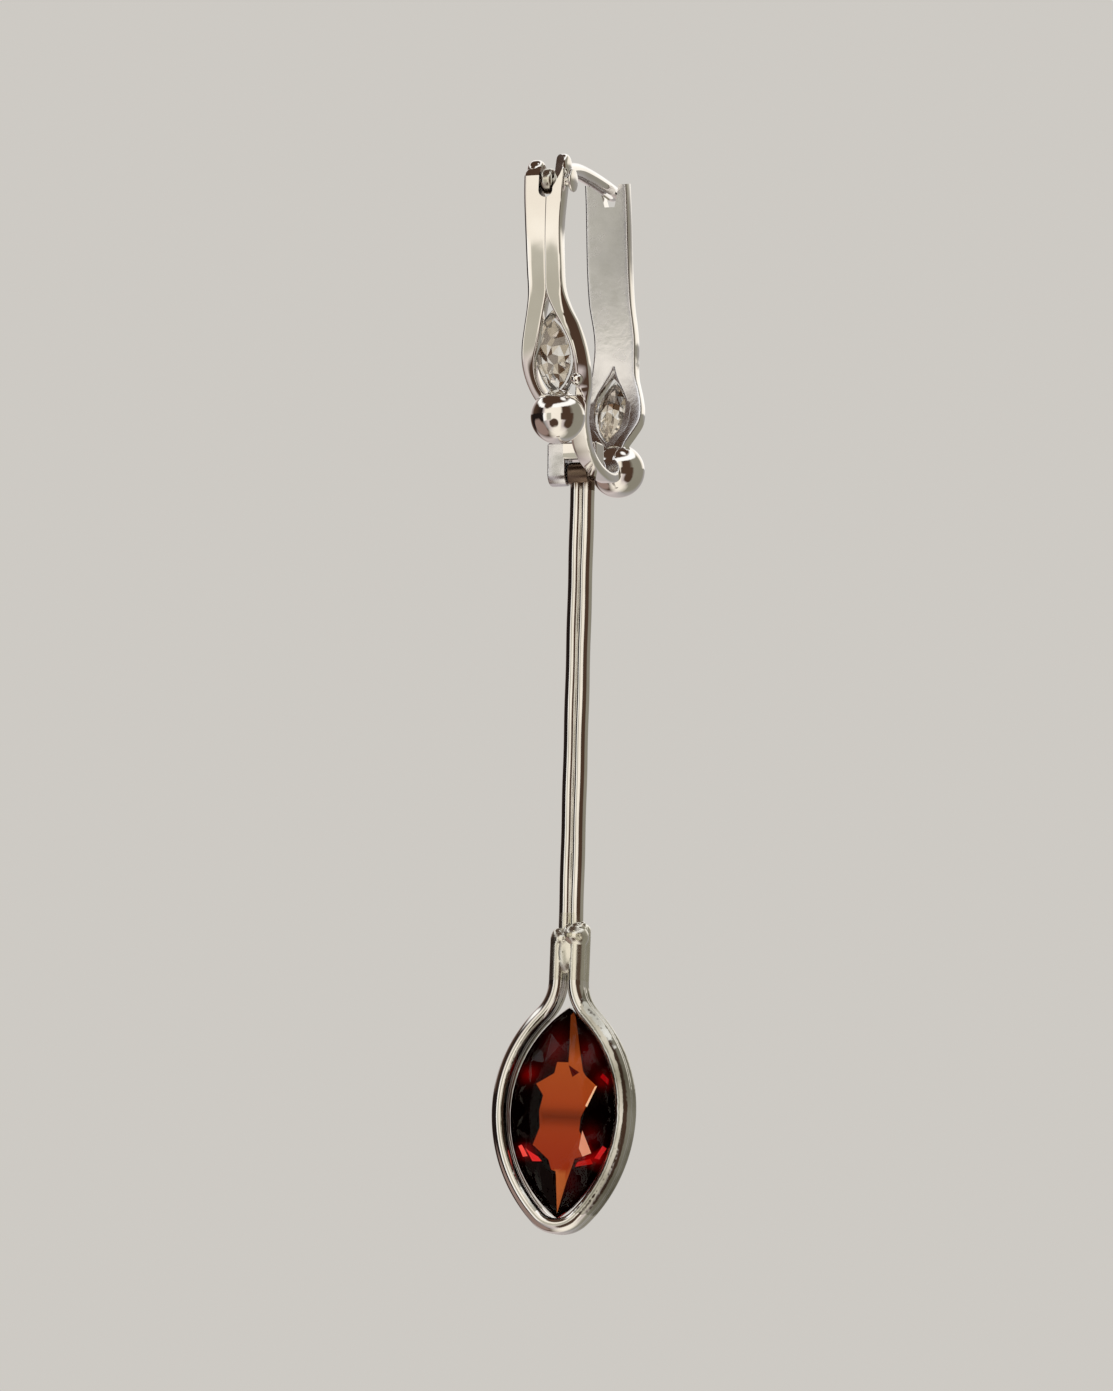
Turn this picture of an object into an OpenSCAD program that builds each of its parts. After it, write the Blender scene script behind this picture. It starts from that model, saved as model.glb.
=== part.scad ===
// Wavy hoop earring with a hinged ear wire and a long drop.
// Millimetres. +Z is up, -Y is the front of the hoop, +X is the wearer's left.
// The origin is the underside of the ear wire's arch, where the earring hangs.
// Angles along the hoop run from its front (0) down under it (90) to its back (180).

/* [Hoop] */
// Half the depth of the oval, front to back
oval_depth = 6.6; // [6.4:0.1:7]
// Depth of the oval below its widest level
oval_drop = 10.6; // [10.4:0.1:10.8]
// Radius that the two legs of the oval follow above the widest level
oval_rise = 20; // [19:0.5:22]
// Level of the widest part of the oval
widest_z = -8; // [-8.2:0.1:-7.8]
// How much lower the oval gets for each millimetre towards the back
oval_tilt = 0.17; // [0.14:0.01:0.2]
// Thickness of the strip's two legs
strip_t = 1; // [0.95:0.05:1.1]
// Thickness of the strip under the hoop
strip_bottom_t = 0.7; // [0.65:0.05:0.9]
// Diameter of the two polished balls
ball_d = 3.4; // [3.2:0.1:3.6]

/* [Ear wire] */
// Diameter of the ear wire
wire_d = 1; // [0.8:0.05:1.1]
// Width of the flat tongue at the front of the ear wire
tongue_w = 0.76; // [0.6:0.02:0.8]
// Diameter of the tongue's round end
tongue_d = 1.6; // [1.5:0.1:1.8]
// Width of the slot that the tongue turns in
slot_w = 0.92; // [0.86:0.02:1]
// Diameter of the hinge pin
pin_d = 0.7; // [0.6:0.05:0.75]

/* [Crystals] */
// Length of a clear marquise stone in the hoop
crystal_l = 4.5; // [4.3:0.05:4.55]
// Width of a clear marquise stone
crystal_w = 2; // [1.8:0.05:2]

/* [Drop] */
// Diameter of each of the stem's two wires
stem_wire_d = 0.8; // [0.7:0.02:0.84]
// Distance from the drop's pin to the middle of the red stone
drop_l = 40.1; // [38:0.1:42]
// Lean of the hanging stem to the left, in degrees
drop_lean = 1.1; // [0:0.05:1.3]
// Diameter of the wire that the frame is bent from
frame_wire_d = 1; // [0.94:0.02:1.04]
// Half the widest width of the frame, to the middle of its wire
frame_half_w = 4.08; // [4.04:0.02:4.2]
// Width of the red marquise stone
garnet_w = 7; // [6.4:0.05:7.02]
// Length of the red marquise stone
garnet_l = 13.3; // [12.4:0.1:13.3]

/* [Hidden] */

silver = "silver";
crystal_white = [0.92, 0.94, 0.95, 0.7];
garnet_red = [0.45, 0.02, 0.05];

// The middle of the oval, front to back, and how square its lower half is
oval_y = 0.2;
oval_squareness = 2.2;

// Hinge of the ear wire, across the top of the front strip
hinge_y = -6.05;
hinge_z = -1;
slot_bottom_z = -2.1;
wire_x = 0.02;
pin_overhang = 0.5;
pin_head_t = 0.2;
pin_head_d = 1.5;

// Hinge of the drop, across the bottom of the hoop
drop_y = 0.8;
drop_z = -18.46;
drop_pin_d = 0.6;
knuckle_d = 1.44;
stem_x = 0.04;
running_gap = 0.03;
end_play = 0.05;

// Bands of the hoop. Columns: angle along the hoop, middle across it, width.
FRONT_LEFT = [
    [-20, -0.68, 1.60],
    [-15, -0.66, 1.54],
    [-9, -0.60, 1.42],
    [-2, -0.52, 1.32],
    [5, -0.45, 1.26],
    [10, -0.60, 1.16],
    [15, -0.80, 1.12],
    [22, -1.08, 1.04],
    [28, -1.24, 0.84],
    [34, -1.14, 0.74],
    [40, -0.78, 0.80],
    [46, -0.20, 0.90],
];
MAIN = [
    [-20, 0.64, 1.22],
    [-15, 0.57, 1.14],
    [-9, 0.50, 1.04],
    [-2, 0.55, 1.10],
    [5, 0.68, 1.16],
    [10, 1.06, 1.08],
    [15, 1.54, 1.00],
    [22, 2.00, 0.84],
    [30, 2.16, 0.86],
    [38, 2.10, 0.88],
    [46, 1.74, 0.96],
    [54, 1.44, 1.06],
    [62, 1.30, 1.14],
    [70, 1.26, 1.06],
    [80, 1.34, 0.94],
    [92, 1.40, 0.90],
    [104, 1.36, 0.94],
    [114, 1.24, 1.00],
    [122, 0.94, 0.98],
    [129, 0.46, 0.92],
    [136, -0.18, 0.84],
    [142, -0.78, 0.82],
    [148, -1.30, 0.82],
    [154, -1.48, 0.82],
    [160, -1.30, 0.88],
    [166, -0.84, 1.06],
    [171, -0.52, 1.42],
    [180, -0.40, 1.54],
    [187, -0.76, 1.56],
    [210, -0.80, 1.60],
];
BACK_RIGHT = [
    [129, 0.86, 0.90],
    [135, 0.94, 0.82],
    [140, 1.16, 0.76],
    [145, 1.52, 0.72],
    [150, 1.78, 0.84],
    [156, 1.74, 0.92],
    [162, 1.44, 1.08],
    [168, 1.02, 1.32],
    [174, 0.84, 1.52],
    [180, 0.80, 1.54],
    [187, 0.54, 1.50],
    [210, 0.44, 1.50],
];
// Thickness of the strip. Columns: angle along the hoop, thickness.
THICKNESS = [
    [-20, strip_t + 0.2],
    [-13, strip_t + 0.2],
    [0, strip_t],
    [35, strip_t],
    [62, 0.4 * strip_t + 0.6 * strip_bottom_t],
    [85, strip_bottom_t],
    [118, strip_bottom_t],
    [140, 0.4 * strip_t + 0.6 * strip_bottom_t],
    [160, strip_t],
    [210, strip_t],
];
band_step = 4;
top_front = -20;
top_back = 209;
front_left_end = 46;
back_right_end = 129;

// The front and back views of the main band meet under the hoop, and run on to its foot
front_foot = 90;
back_foot = 99;
foot_z = -20;
hoop_half_w = 5;
hoop_half_depth = 9;

// Balls: angle along the hoop, and place across it
BALLS = [[46.8, 0.52], [131, 0.76]];
ball_lift = 1.15;

// Claws beside the stones: angle along the hoop, place across it
CLAWS = [[34, 1.86], [146, 1.18], [158, -1.00]];
claw_d = 0.8;

// Stones in the hoop: angle along the hoop, and place across it
FRONT_STONE = [25.5, 0.48];
BACK_STONE = [154.5, 0.14];

// The red stone sits a little askew in its frame
stone_z = -0.1;
stone_lean = 1.2;

// Frame of the drop, measured from the middle of the red stone
frame_gap = 0.92;
frame_lean = 0.75;
neck_z = 10.8;
upper_r = 8.4;
lower_r = 9.3;
tip_r = 1.85;
throat_r = 3;
neck_half_w = 0.64;
neck_top = 11.4;

function power(v, p) = sign(v) * pow(abs(v), p);

function lower_half(a) = sin(a) > 0;
function squareness(a) = lower_half(a) ? 2 / oval_squareness : 1;

// Middle of the strip's thickness in the side view, and the outward direction there
function side_y(a) = oval_y - oval_depth * power(cos(a), squareness(a));
function side_z(a) = widest_z - (lower_half(a) ? oval_drop : oval_rise) * power(sin(a), squareness(a))
                     - oval_tilt * (side_y(a) - oval_y);
function side_point(a) = [side_y(a), side_z(a)];
function side_along(a) = let (d = side_point(a + 0.5) - side_point(a - 0.5)) d / norm(d);
function side_out(a) = let (t = side_along(a)) [t[1], -t[0]];

// Place in the model of a point that lies x across the hoop and lift outside the strip's middle
function on_hoop(a, x, lift) = let (p = side_point(a) + lift * side_out(a)) [x, p[0], p[1]];

// Smooth value of a table's column between its rows
function row_before(rows, a, i = 0) =
    i >= len(rows) - 2 || a < rows[i + 1][0] ? i : row_before(rows, a, i + 1);
function gap_slope(rows, i, c) = (rows[i + 1][c] - rows[i][c]) / (rows[i + 1][0] - rows[i][0]);
function row_slope(rows, i, c) =
    i == 0 ? gap_slope(rows, 0, c)
    : i == len(rows) - 1 ? gap_slope(rows, i - 1, c)
    : (gap_slope(rows, i - 1, c) + gap_slope(rows, i, c)) / 2;
function smooth(rows, a, c) =
    let (
        i = row_before(rows, a),
        h = rows[i + 1][0] - rows[i][0],
        t = (a - rows[i][0]) / h,
        from_first = rows[i][c] * (1 + 2 * t) + h * row_slope(rows, i, c) * t,
        from_next = rows[i + 1][c] * (3 - 2 * t) - h * row_slope(rows, i + 1, c) * (1 - t)
    )
    (1 - t) * (1 - t) * from_first + t * t * from_next;

// Faces of a tube made of rings, each with the same number of points
function tube_faces(rings, points) = concat(
    [[for (j = [points - 1:-1:0]) j]],
    [for (i = [0:rings - 2])
        for (j = [0:points - 1])
            let (
                a = i * points + j,
                b = i * points + (j + 1) % points
            )
            each [[a, b, a + points], [b, b + points, a + points]]],
    [[for (j = [0:points - 1]) (rings - 1) * points + j]]
);

// The oval in the side view, as a ring as thick as the strip
module side_ring(first, last) {
    steps = ceil((last - first) / band_step);
    angles = [for (i = [0:steps]) first + (last - first) * i / steps];
    function face(a, side) = side_point(a) + side * smooth(THICKNESS, a, 1) / 2 * side_out(a);
    polygon(concat(
        [for (a = angles) face(a, 1)],
        [for (i = [steps:-1:0]) face(angles[i], -1)]
    ));
}

// A band in the front view, between two angles. With a foot it runs straight down from the last.
module band_outline(rows, from, to, has_foot = false) {
    steps = ceil(abs(to - from) / band_step);
    angles = [for (i = [0:steps]) from + (to - from) * i / steps];
    function edge(a, side) = smooth(rows, a, 1) + side * smooth(rows, a, 2) / 2;
    foot = has_foot ? [[edge(to, -1), foot_z], [edge(to, 1), foot_z]] : [];
    polygon(concat(
        [for (a = angles) [edge(a, -1), side_z(a)]],
        foot,
        [for (i = [steps:-1:0]) [edge(angles[i], 1), side_z(angles[i])]]
    ));
}

module cut_through(y0, y1) {
    translate([0, y1, 0])
        rotate([90, 0, 0])
            linear_extrude(y1 - y0)
                children();
}

module strip() {
    intersection() {
        translate([-hoop_half_w, 0, 0])
            rotate([90, 0, 90])
                linear_extrude(2 * hoop_half_w)
                    side_ring(top_front, top_back);
        union() {
            cut_through(-hoop_half_depth, oval_y) {
                band_outline(FRONT_LEFT, top_front, front_left_end);
                band_outline(MAIN, top_front, front_foot, true);
            }
            cut_through(oval_y, hoop_half_depth) {
                band_outline(BACK_RIGHT, top_back, back_right_end);
                band_outline(MAIN, top_back, back_foot, true);
            }
        }
    }
}

// A cylinder along the width of the hoop, from x0 to x1
module cross_bar(x0, x1, y, z, d) {
    translate([x0, y, z])
        rotate([0, 90, 0])
            cylinder(h = x1 - x0, d = d, $fn = 48);
}

// Rolled tops of the two sides of the fork. The left one is a little lower.
fork_left = -1.4;
fork_right = 1.18;
fork_top_d = 1.5;
fork_top_y = -5.8;
fork_left_top_z = -0.3;
fork_right_top_z = -0.02;

// Side plate and bridge that carry the left end of the drop's pin
lug_x0 = -2.07;
lug_x1 = -0.87;
lug_d = 1.56;
bridge_z = -17.62;
bridge_t = 1.07;
bridge_x1 = 1.2;
bridge_foot_x0 = 0.88;
bridge_foot_z = -18.6;

module drop_lug() {
    translate([lug_x0, 0, 0])
        rotate([90, 0, 90])
            linear_extrude(lug_x1 - lug_x0) {
                translate([drop_y, drop_z])
                    circle(d = lug_d, $fn = 48);
                translate([drop_y - lug_d / 2, drop_z])
                    square([lug_d, bridge_z + bridge_t - drop_z]);
            }
    translate([lug_x0, drop_y - lug_d / 2, bridge_z])
        cube([bridge_x1 - lug_x0, lug_d, bridge_t]);
    translate([bridge_foot_x0, drop_y - lug_d / 2, bridge_foot_z])
        cube([bridge_x1 - bridge_foot_x0, lug_d, bridge_z + bridge_t - bridge_foot_z]);
}

// Notch in the top of the back strip, which the end of the ear wire lies in
notch_floor_half_w = 0.33;
notch_half_w = 0.82;
notch_bottom_z = -0.78;
notch_top_z = 1.3;
notch_y = 4;
notch_depth = 4;

module notch() {
    translate([wire_x, notch_y + notch_depth, 0])
        rotate([90, 0, 0])
            linear_extrude(notch_depth)
                polygon([
                    [-notch_floor_half_w, notch_bottom_z],
                    [notch_floor_half_w, notch_bottom_z],
                    [notch_half_w, notch_top_z],
                    [-notch_half_w, notch_top_z]
                ]);
}

slot_depth = 6;
cut_overhang = 1;

// Slot of the fork, from front to back
module fork_slot() {
    translate([wire_x - slot_w / 2, hinge_y - slot_depth / 2, slot_bottom_z])
        cube([slot_w, slot_depth, slot_depth]);
}

// Bores for the two hinge pins
module hinge_bore() {
    cross_bar(fork_left - cut_overhang, fork_right + cut_overhang,
              hinge_y, hinge_z, pin_d + 2 * running_gap);
}

module drop_bore(x0, x1) {
    cross_bar(x0, x1, drop_y, drop_z, drop_pin_d + 2 * running_gap);
}

module hoop_band() {
    color(silver)
        difference() {
            union() {
                strip();
                for (ball = BALLS)
                    translate(on_hoop(ball[0], ball[1], ball_lift))
                        rotate([0, 90, 0])
                            sphere(d = ball_d, $fn = 64);
                for (claw = CLAWS)
                    translate(on_hoop(claw[0], claw[1], strip_t / 2))
                        sphere(d = claw_d, $fn = 32);
                cross_bar(fork_left, wire_x, fork_top_y, fork_left_top_z, fork_top_d);
                cross_bar(wire_x, fork_right, fork_top_y, fork_right_top_z, fork_top_d);
                drop_lug();
                stone_seat(FRONT_STONE);
                stone_seat(BACK_STONE);
            }
            fork_slot();
            hinge_bore();
            drop_bore(lug_x0 - cut_overhang, bridge_x1);
            notch();
        }
}

module hinge_pin() {
    color(silver) {
        cross_bar(fork_left, fork_right + pin_overhang, hinge_y, hinge_z, pin_d);
        cross_bar(fork_right + pin_overhang - pin_head_t, fork_right + pin_overhang,
                  hinge_y, hinge_z, pin_head_d);
    }
}

// Arch of the ear wire in the side view: a front bend and a flatter back bend that meet over
// the origin. Its front end is flattened into the tongue.
arch_front_r = 11;
arch_back_r = 60;
arch_start_y = -5.75;
arch_end_y = 6.7;
arch_rings = 30;
arch_sides = 20;
flat_end_y = -4.3;
round_start_y = -3.8;
tongue_relief = 0.02;

function arch_r(y) = y < 0 ? arch_front_r : arch_back_r;
function arch_z(y) = wire_d / 2 - arch_r(y) + sqrt(pow(arch_r(y), 2) - y * y);
function arch_slope(y) = -atan(y / sqrt(pow(arch_r(y), 2) - y * y));
function flatness(y) = min(1, max(0, (round_start_y - y) / (round_start_y - flat_end_y)));
function arch_half_w(y) =
    wire_d / 2 - flatness(y) * ((wire_d - tongue_w) / 2 + tongue_relief);

module arch() {
    points = [
        for (i = [0:arch_rings])
            let (
                y = arch_start_y + (arch_end_y - arch_start_y) * i / arch_rings,
                slope = arch_slope(y),
                half_w = arch_half_w(y)
            )
            for (j = [0:arch_sides - 1])
                let (
                    turn = 360 * (j + 0.5) / arch_sides,
                    across = min(half_w, max(-half_w, wire_d / 2 * cos(turn))),
                    up = wire_d / 2 * sin(turn)
                )
                [wire_x + across, y - up * sin(slope), arch_z(y) + up * cos(slope)]
    ];
    polyhedron(points, tube_faces(arch_rings + 1, arch_sides), convexity = 4);
}

module ear_wire() {
    color(silver)
        difference() {
            union() {
                cross_bar(wire_x - tongue_w / 2, wire_x + tongue_w / 2, hinge_y, hinge_z, tongue_d);
                arch();
            }
            hinge_bore();
        }
}

// Outline of a marquise: two arcs that meet in points at both ends
function marquise(l, w, n) =
    let (
        r = (l * l + w * w) / (4 * w),
        half = asin(l / 2 / r)
    )
    [for (i = [0:2 * n - 1])
        let (
            side = i < n ? 1 : -1,
            a = -half + 2 * half * (i % n) / n
        )
        [side * (r * cos(a) - r + w / 2), side * r * sin(a)]];

// A cut marquise stone. Its table faces -Y, its long axis is along Z, its girdle is at y 0.
// Columns of its levels: depth behind the girdle, scale of the outline across and along.
module cut_marquise(l, w, levels, n) {
    outline = marquise(l, w, n);
    points = [
        for (level = levels)
            for (p = outline)
                [p[0] * level[1], level[0], p[1] * level[2]]
    ];
    polyhedron(points, tube_faces(len(levels), 2 * n), convexity = 2);
}

CRYSTAL_LEVELS = [[-0.42, 0.55, 0.70], [-0.05, 1, 1], [0.05, 1, 1],
                  [0.55, 0.55, 0.68], [0.85, 0.12, 0.40]];
GARNET_LEVELS = [[-1.35, 0.52, 0.62], [-0.75, 0.82, 0.86], [-0.10, 1, 1], [0.10, 1, 1],
                 [1.30, 0.60, 0.72], [2.10, 0.10, 0.36]];

// Facets along each side of a stone's outline
crystal_facets = 8;
garnet_facets = 12;

// A hoop stone lies along the hoop at its angle, with its girdle just outside the strip's middle
girdle_lift = 0.1;

module hoop_stone(place) {
    at_stone(place)
        cut_marquise(crystal_l, crystal_w, CRYSTAL_LEVELS, crystal_facets);
}

// Seat round a hoop stone, which closes the opening between the two bands
seat_gap = 0.03;
seat_side = 0.35;
seat_end = 0.55;
seat_front = 0.08;
seat_back = 0.6;

module at_stone(place) {
    t = side_along(place[0]);
    translate(on_hoop(place[0], place[1], girdle_lift))
        rotate([90 + atan2(t[1], t[0]), 0, 0])
            children();
}

module stone_seat(place) {
    at_stone(place)
        cut_through(seat_front, seat_back)
            difference() {
                polygon(marquise(crystal_l + 2 * seat_end, crystal_w + 2 * seat_side, crystal_facets));
                polygon(marquise(crystal_l + 2 * seat_gap, crystal_w + 2 * seat_gap, crystal_facets));
            }
}

module front_crystal() {
    color(crystal_white)
        hoop_stone(FRONT_STONE);
}

module back_crystal() {
    color(crystal_white)
        hoop_stone(BACK_STONE);
}

module drop_pin() {
    color(silver)
        cross_bar(lug_x0, bridge_x1 - end_play, drop_y, drop_z, drop_pin_d);
}

// Places what is measured along the stem, from the middle of the red stone
module at_drop() {
    translate([stem_x, drop_y, drop_z])
        rotate([0, drop_lean, 0])
            translate([0, 0, -drop_l])
                children();
}

// The frame leans a little more than the stem, from the solder at its neck
module at_frame() {
    at_drop()
        translate([0, 0, neck_z])
            rotate([0, frame_lean, 0])
                translate([0, 0, -neck_z])
                    children();
}

upper_x = frame_half_w - upper_r;
lower_x = frame_half_w - lower_r;
throat_x = neck_half_w + throat_r;
throat_z = sqrt(pow(upper_r + throat_r, 2) - pow(throat_x - upper_x, 2));
throat_turn = atan2(throat_z, throat_x - upper_x);
tip_z = -sqrt(pow(lower_r - tip_r, 2) - pow(lower_x, 2));
tip_turn = atan2(tip_z, -lower_x);

// Bends of the frame's right half, from its neck down to its tip.
// Columns: centre x, centre z, radius, first angle, last angle, side that faces outwards.
FRAME_BENDS = [
    [throat_x, throat_z, throat_r, 180, 180 + throat_turn, -1],
    [upper_x, 0, upper_r, throat_turn, 0, 1],
    [lower_x, 0, lower_r, 0, tip_turn, 1],
    [0, tip_z, tip_r, tip_turn, -90, 1],
];
bend_step = 0.5;

// Path of the frame's wire in the front view: x, z, and the outward direction's x and z
function bend_steps(bend) = ceil(bend[2] * abs(bend[4] - bend[3]) * PI / 180 / bend_step);
function bend_point(bend, a) =
    [bend[0] + bend[2] * cos(a), bend[1] + bend[2] * sin(a), bend[5] * cos(a), bend[5] * sin(a)];
half_path = concat(
    [[neck_half_w, neck_top, 1, 0]],
    [for (bend = FRAME_BENDS)
        for (i = [0:bend_steps(bend) - 1])
            bend_point(bend, bend[3] + (bend[4] - bend[3]) * i / bend_steps(bend))]
);
frame_path = concat(
    half_path,
    [[0, tip_z - tip_r, 0, -1]],
    [for (i = [len(half_path) - 1:-1:0])
        [-half_path[i][0], half_path[i][1], -half_path[i][2], half_path[i][3]]]
);

// Section of the frame: two round wires side by side, front and back, soldered along their length
wire_points = 11;
wires_meet = asin(frame_gap / frame_wire_d);
frame_section = [
    for (side = [0, 1])
        for (i = [0:wire_points - 2])
            let (a = 180 * side - wires_meet + (180 + 2 * wires_meet) * i / (wire_points - 1))
            [frame_wire_d / 2 * cos(a), frame_wire_d / 2 * sin(a) + frame_gap * (0.5 - side)]
];

module frame_wires() {
    points = [
        for (at = frame_path)
            for (p = frame_section)
                [at[0] + at[2] * p[0], p[1], at[1] + at[3] * p[0]]
    ];
    polyhedron(points, tube_faces(len(frame_path), len(frame_section)), convexity = 6);
}

solder_z = 9.4;
solder_d = 1.3;
solder_rise = 0.2;
stem_end_z = 10.2;
stem_wire_overlap = 0.02;
stem_top_gap = 0.35;
knuckle_x0 = -0.8;
knuckle_x1 = 0.56;

module drop_frame() {
    color(silver)
        difference() {
            union() {
                cross_bar(knuckle_x0, knuckle_x1, drop_y, drop_z, knuckle_d);
                at_drop() {
                    for (side = [-1, 1])
                        translate([side * (stem_wire_d - stem_wire_overlap) / 2, 0, stem_end_z])
                            cylinder(h = drop_l - stem_top_gap - stem_end_z, d = stem_wire_d, $fn = 48);
                }
                at_frame() {
                    frame_wires();
                    translate([0, 0, solder_z])
                        cylinder(h = neck_top + solder_rise - solder_z, d = solder_d, $fn = 48);
                }
            }
            drop_bore(knuckle_x0 - cut_overhang, knuckle_x1 + cut_overhang);
        }
}

module garnet() {
    color(garnet_red)
        at_frame()
            translate([0, 0, stone_z])
                rotate([0, stone_lean, 0])
                    cut_marquise(garnet_l, garnet_w, GARNET_LEVELS, garnet_facets);
}

hoop_band();
hinge_pin();
ear_wire();
front_crystal();
back_crystal();
drop_pin();
drop_frame();
garnet();
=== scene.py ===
import math
import random
from contextlib import contextmanager

import bmesh
import bpy
from mathutils import Matrix, Vector, geometry, noise


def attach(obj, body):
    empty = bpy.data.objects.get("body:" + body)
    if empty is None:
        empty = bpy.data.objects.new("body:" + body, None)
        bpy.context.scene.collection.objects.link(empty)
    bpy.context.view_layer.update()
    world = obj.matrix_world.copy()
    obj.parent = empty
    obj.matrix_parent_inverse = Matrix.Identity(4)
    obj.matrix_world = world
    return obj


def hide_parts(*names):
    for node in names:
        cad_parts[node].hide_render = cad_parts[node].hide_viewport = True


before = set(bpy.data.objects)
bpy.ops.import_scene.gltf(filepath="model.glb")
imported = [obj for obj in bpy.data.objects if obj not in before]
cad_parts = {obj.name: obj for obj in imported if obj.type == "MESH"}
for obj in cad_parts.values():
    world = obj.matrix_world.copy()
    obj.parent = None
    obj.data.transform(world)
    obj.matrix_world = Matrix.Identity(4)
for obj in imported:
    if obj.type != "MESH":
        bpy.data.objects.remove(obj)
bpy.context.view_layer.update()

# Sizes below are in millimetres, as in the part's source. MM turns them into metres.
MM = 0.001

# Side view of the hoop: an oval with long legs
OVAL_DEPTH = 6.6
OVAL_DROP = 10.6
OVAL_RISE = 20
WIDEST_Z = -8
OVAL_TILT = 0.17
OVAL_Y = 0.2
OVAL_SQUARENESS = 2.2
STRIP_T = 1.0
STRIP_BOTTOM_T = 0.7

# Bands of the hoop. Columns: angle along the hoop, middle across it, width. The angle is 0 at
# the front, 90 at the bottom and 180 at the back.
FRONT_LEFT = [
    (-20, -0.68, 1.60), (-15, -0.66, 1.54), (-9, -0.60, 1.42), (-2, -0.52, 1.32),
    (5, -0.45, 1.26), (10, -0.60, 1.16), (15, -0.80, 1.12), (22, -1.08, 1.04),
    (28, -1.24, 0.84), (34, -1.14, 0.74), (40, -0.78, 0.80), (46, -0.20, 0.90),
]
MAIN = [
    (-20, 0.64, 1.22), (-15, 0.57, 1.14), (-9, 0.50, 1.04), (-2, 0.55, 1.10), (5, 0.68, 1.16),
    (10, 1.06, 1.08), (15, 1.54, 1.00), (22, 2.00, 0.84), (30, 2.16, 0.86), (38, 2.10, 0.88),
    (46, 1.74, 0.96), (54, 1.44, 1.06), (62, 1.30, 1.14), (70, 1.26, 1.06), (80, 1.34, 0.94),
    (92, 1.40, 0.90), (104, 1.36, 0.94), (114, 1.24, 1.00), (122, 0.94, 0.98),
    (129, 0.46, 0.92), (136, -0.18, 0.84), (142, -0.78, 0.82), (148, -1.30, 0.82),
    (154, -1.48, 0.82), (160, -1.30, 0.88), (166, -0.84, 1.06), (171, -0.52, 1.42),
    (180, -0.40, 1.54), (187, -0.76, 1.56), (210, -0.80, 1.60),
]
BACK_RIGHT = [
    (129, 0.86, 0.90), (135, 0.94, 0.82), (140, 1.16, 0.76), (145, 1.52, 0.72),
    (150, 1.78, 0.84), (156, 1.74, 0.92), (162, 1.44, 1.08), (168, 1.02, 1.32),
    (174, 0.84, 1.52), (180, 0.80, 1.54), (187, 0.54, 1.50), (210, 0.44, 1.50),
]
# Columns: angle along the hoop, thickness.
THICKNESS = [
    (-20, STRIP_T + 0.2), (-13, STRIP_T + 0.2), (0, STRIP_T), (35, STRIP_T),
    (62, 0.4 * STRIP_T + 0.6 * STRIP_BOTTOM_T), (85, STRIP_BOTTOM_T), (118, STRIP_BOTTOM_T),
    (140, 0.4 * STRIP_T + 0.6 * STRIP_BOTTOM_T), (160, STRIP_T), (210, STRIP_T),
]
TOP_FRONT = -20
TOP_BACK = 209

BALL_D = 3.4
BALL_LIFT = 1.15
BALLS = [(46.8, 0.52), (131, 0.76)]
CLAWS = [(34, 1.86), (146, 1.18), (158, -1.00)]
CLAW_D = 0.8
# Stones: angle along the hoop and place across it. The cup round each is the seat.
FRONT_STONE = (25.5, 0.48)
BACK_STONE = (154.5, 0.14)
CRYSTAL_L = 4.5
CRYSTAL_W = 2.0
GIRDLE_LIFT = 0.1
SEAT_GAP = 0.03
SEAT_SIDE = 0.35
SEAT_END = 0.55
SEAT_FRONT = 0.08
SEAT_BACK = 0.6
SEAT_SLOPE = 0.32

# Fork, hinge and ear wire
HINGE_Y = -6.05
HINGE_Z = -1.0
WIRE_X = 0.02
WIRE_D = 1.0
SLOT_W = 0.92
SLOT_BOTTOM_Z = -2.1
TONGUE_W = 0.76
TONGUE_D = 1.6
PIN_D = 0.7
RUNNING_GAP = 0.03
BORE_EDGE = 0.01
PIN_OVERHANG = 0.5
PIN_HEAD_T = 0.2
PIN_HEAD_D = 1.5
FORK_LEFT = -1.4
FORK_RIGHT = 1.18
FORK_TOP_D = 1.5
FORK_TOP_Y = -5.8
FORK_LEFT_TOP_Z = -0.3
FORK_RIGHT_TOP_Z = -0.02
# The rounded tops of the fork's arms: outer ends, edge radii, and how far the left one sits back
FORK_TOP_X0 = -1.46
FORK_TOP_X1 = 1.26
FORK_LEFT_EDGE = 0.42
FORK_RIGHT_EDGE = 0.3
FORK_LEFT_BACK = 0.22
# Notch for the ear wire's end in the back strip: half widths and heights
NOTCH_BOTTOM = (0.33, -0.78)
NOTCH_TOP = (0.82, 1.3)
ARCH_FRONT_R = 11.0
ARCH_BACK_R = 60.0
ARCH_START_Y = -5.75
ARCH_END_Y = 6.7
FLAT_END_Y = -4.3
ROUND_START_Y = -3.8
SOLDERED_END_Y = -5.3

# Hinge of the drop
DROP_Y = 0.8
DROP_Z = -18.46
DROP_PIN_D = 0.6
KNUCKLE_D = 1.44
KNUCKLE_X0 = -0.8
KNUCKLE_X1 = 0.56
STEM_X = 0.04
LUG_X0 = -2.07
LUG_X1 = -0.87
LUG_D = 1.56
BRIDGE_Z = -17.62
BRIDGE_T = 1.07
BRIDGE_X1 = 1.2
BRIDGE_FOOT_X0 = 0.88
BRIDGE_FOOT_Z = -18.6
PLATE_EDGE = 0.14
FOOT_EDGE = 0.1

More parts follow.
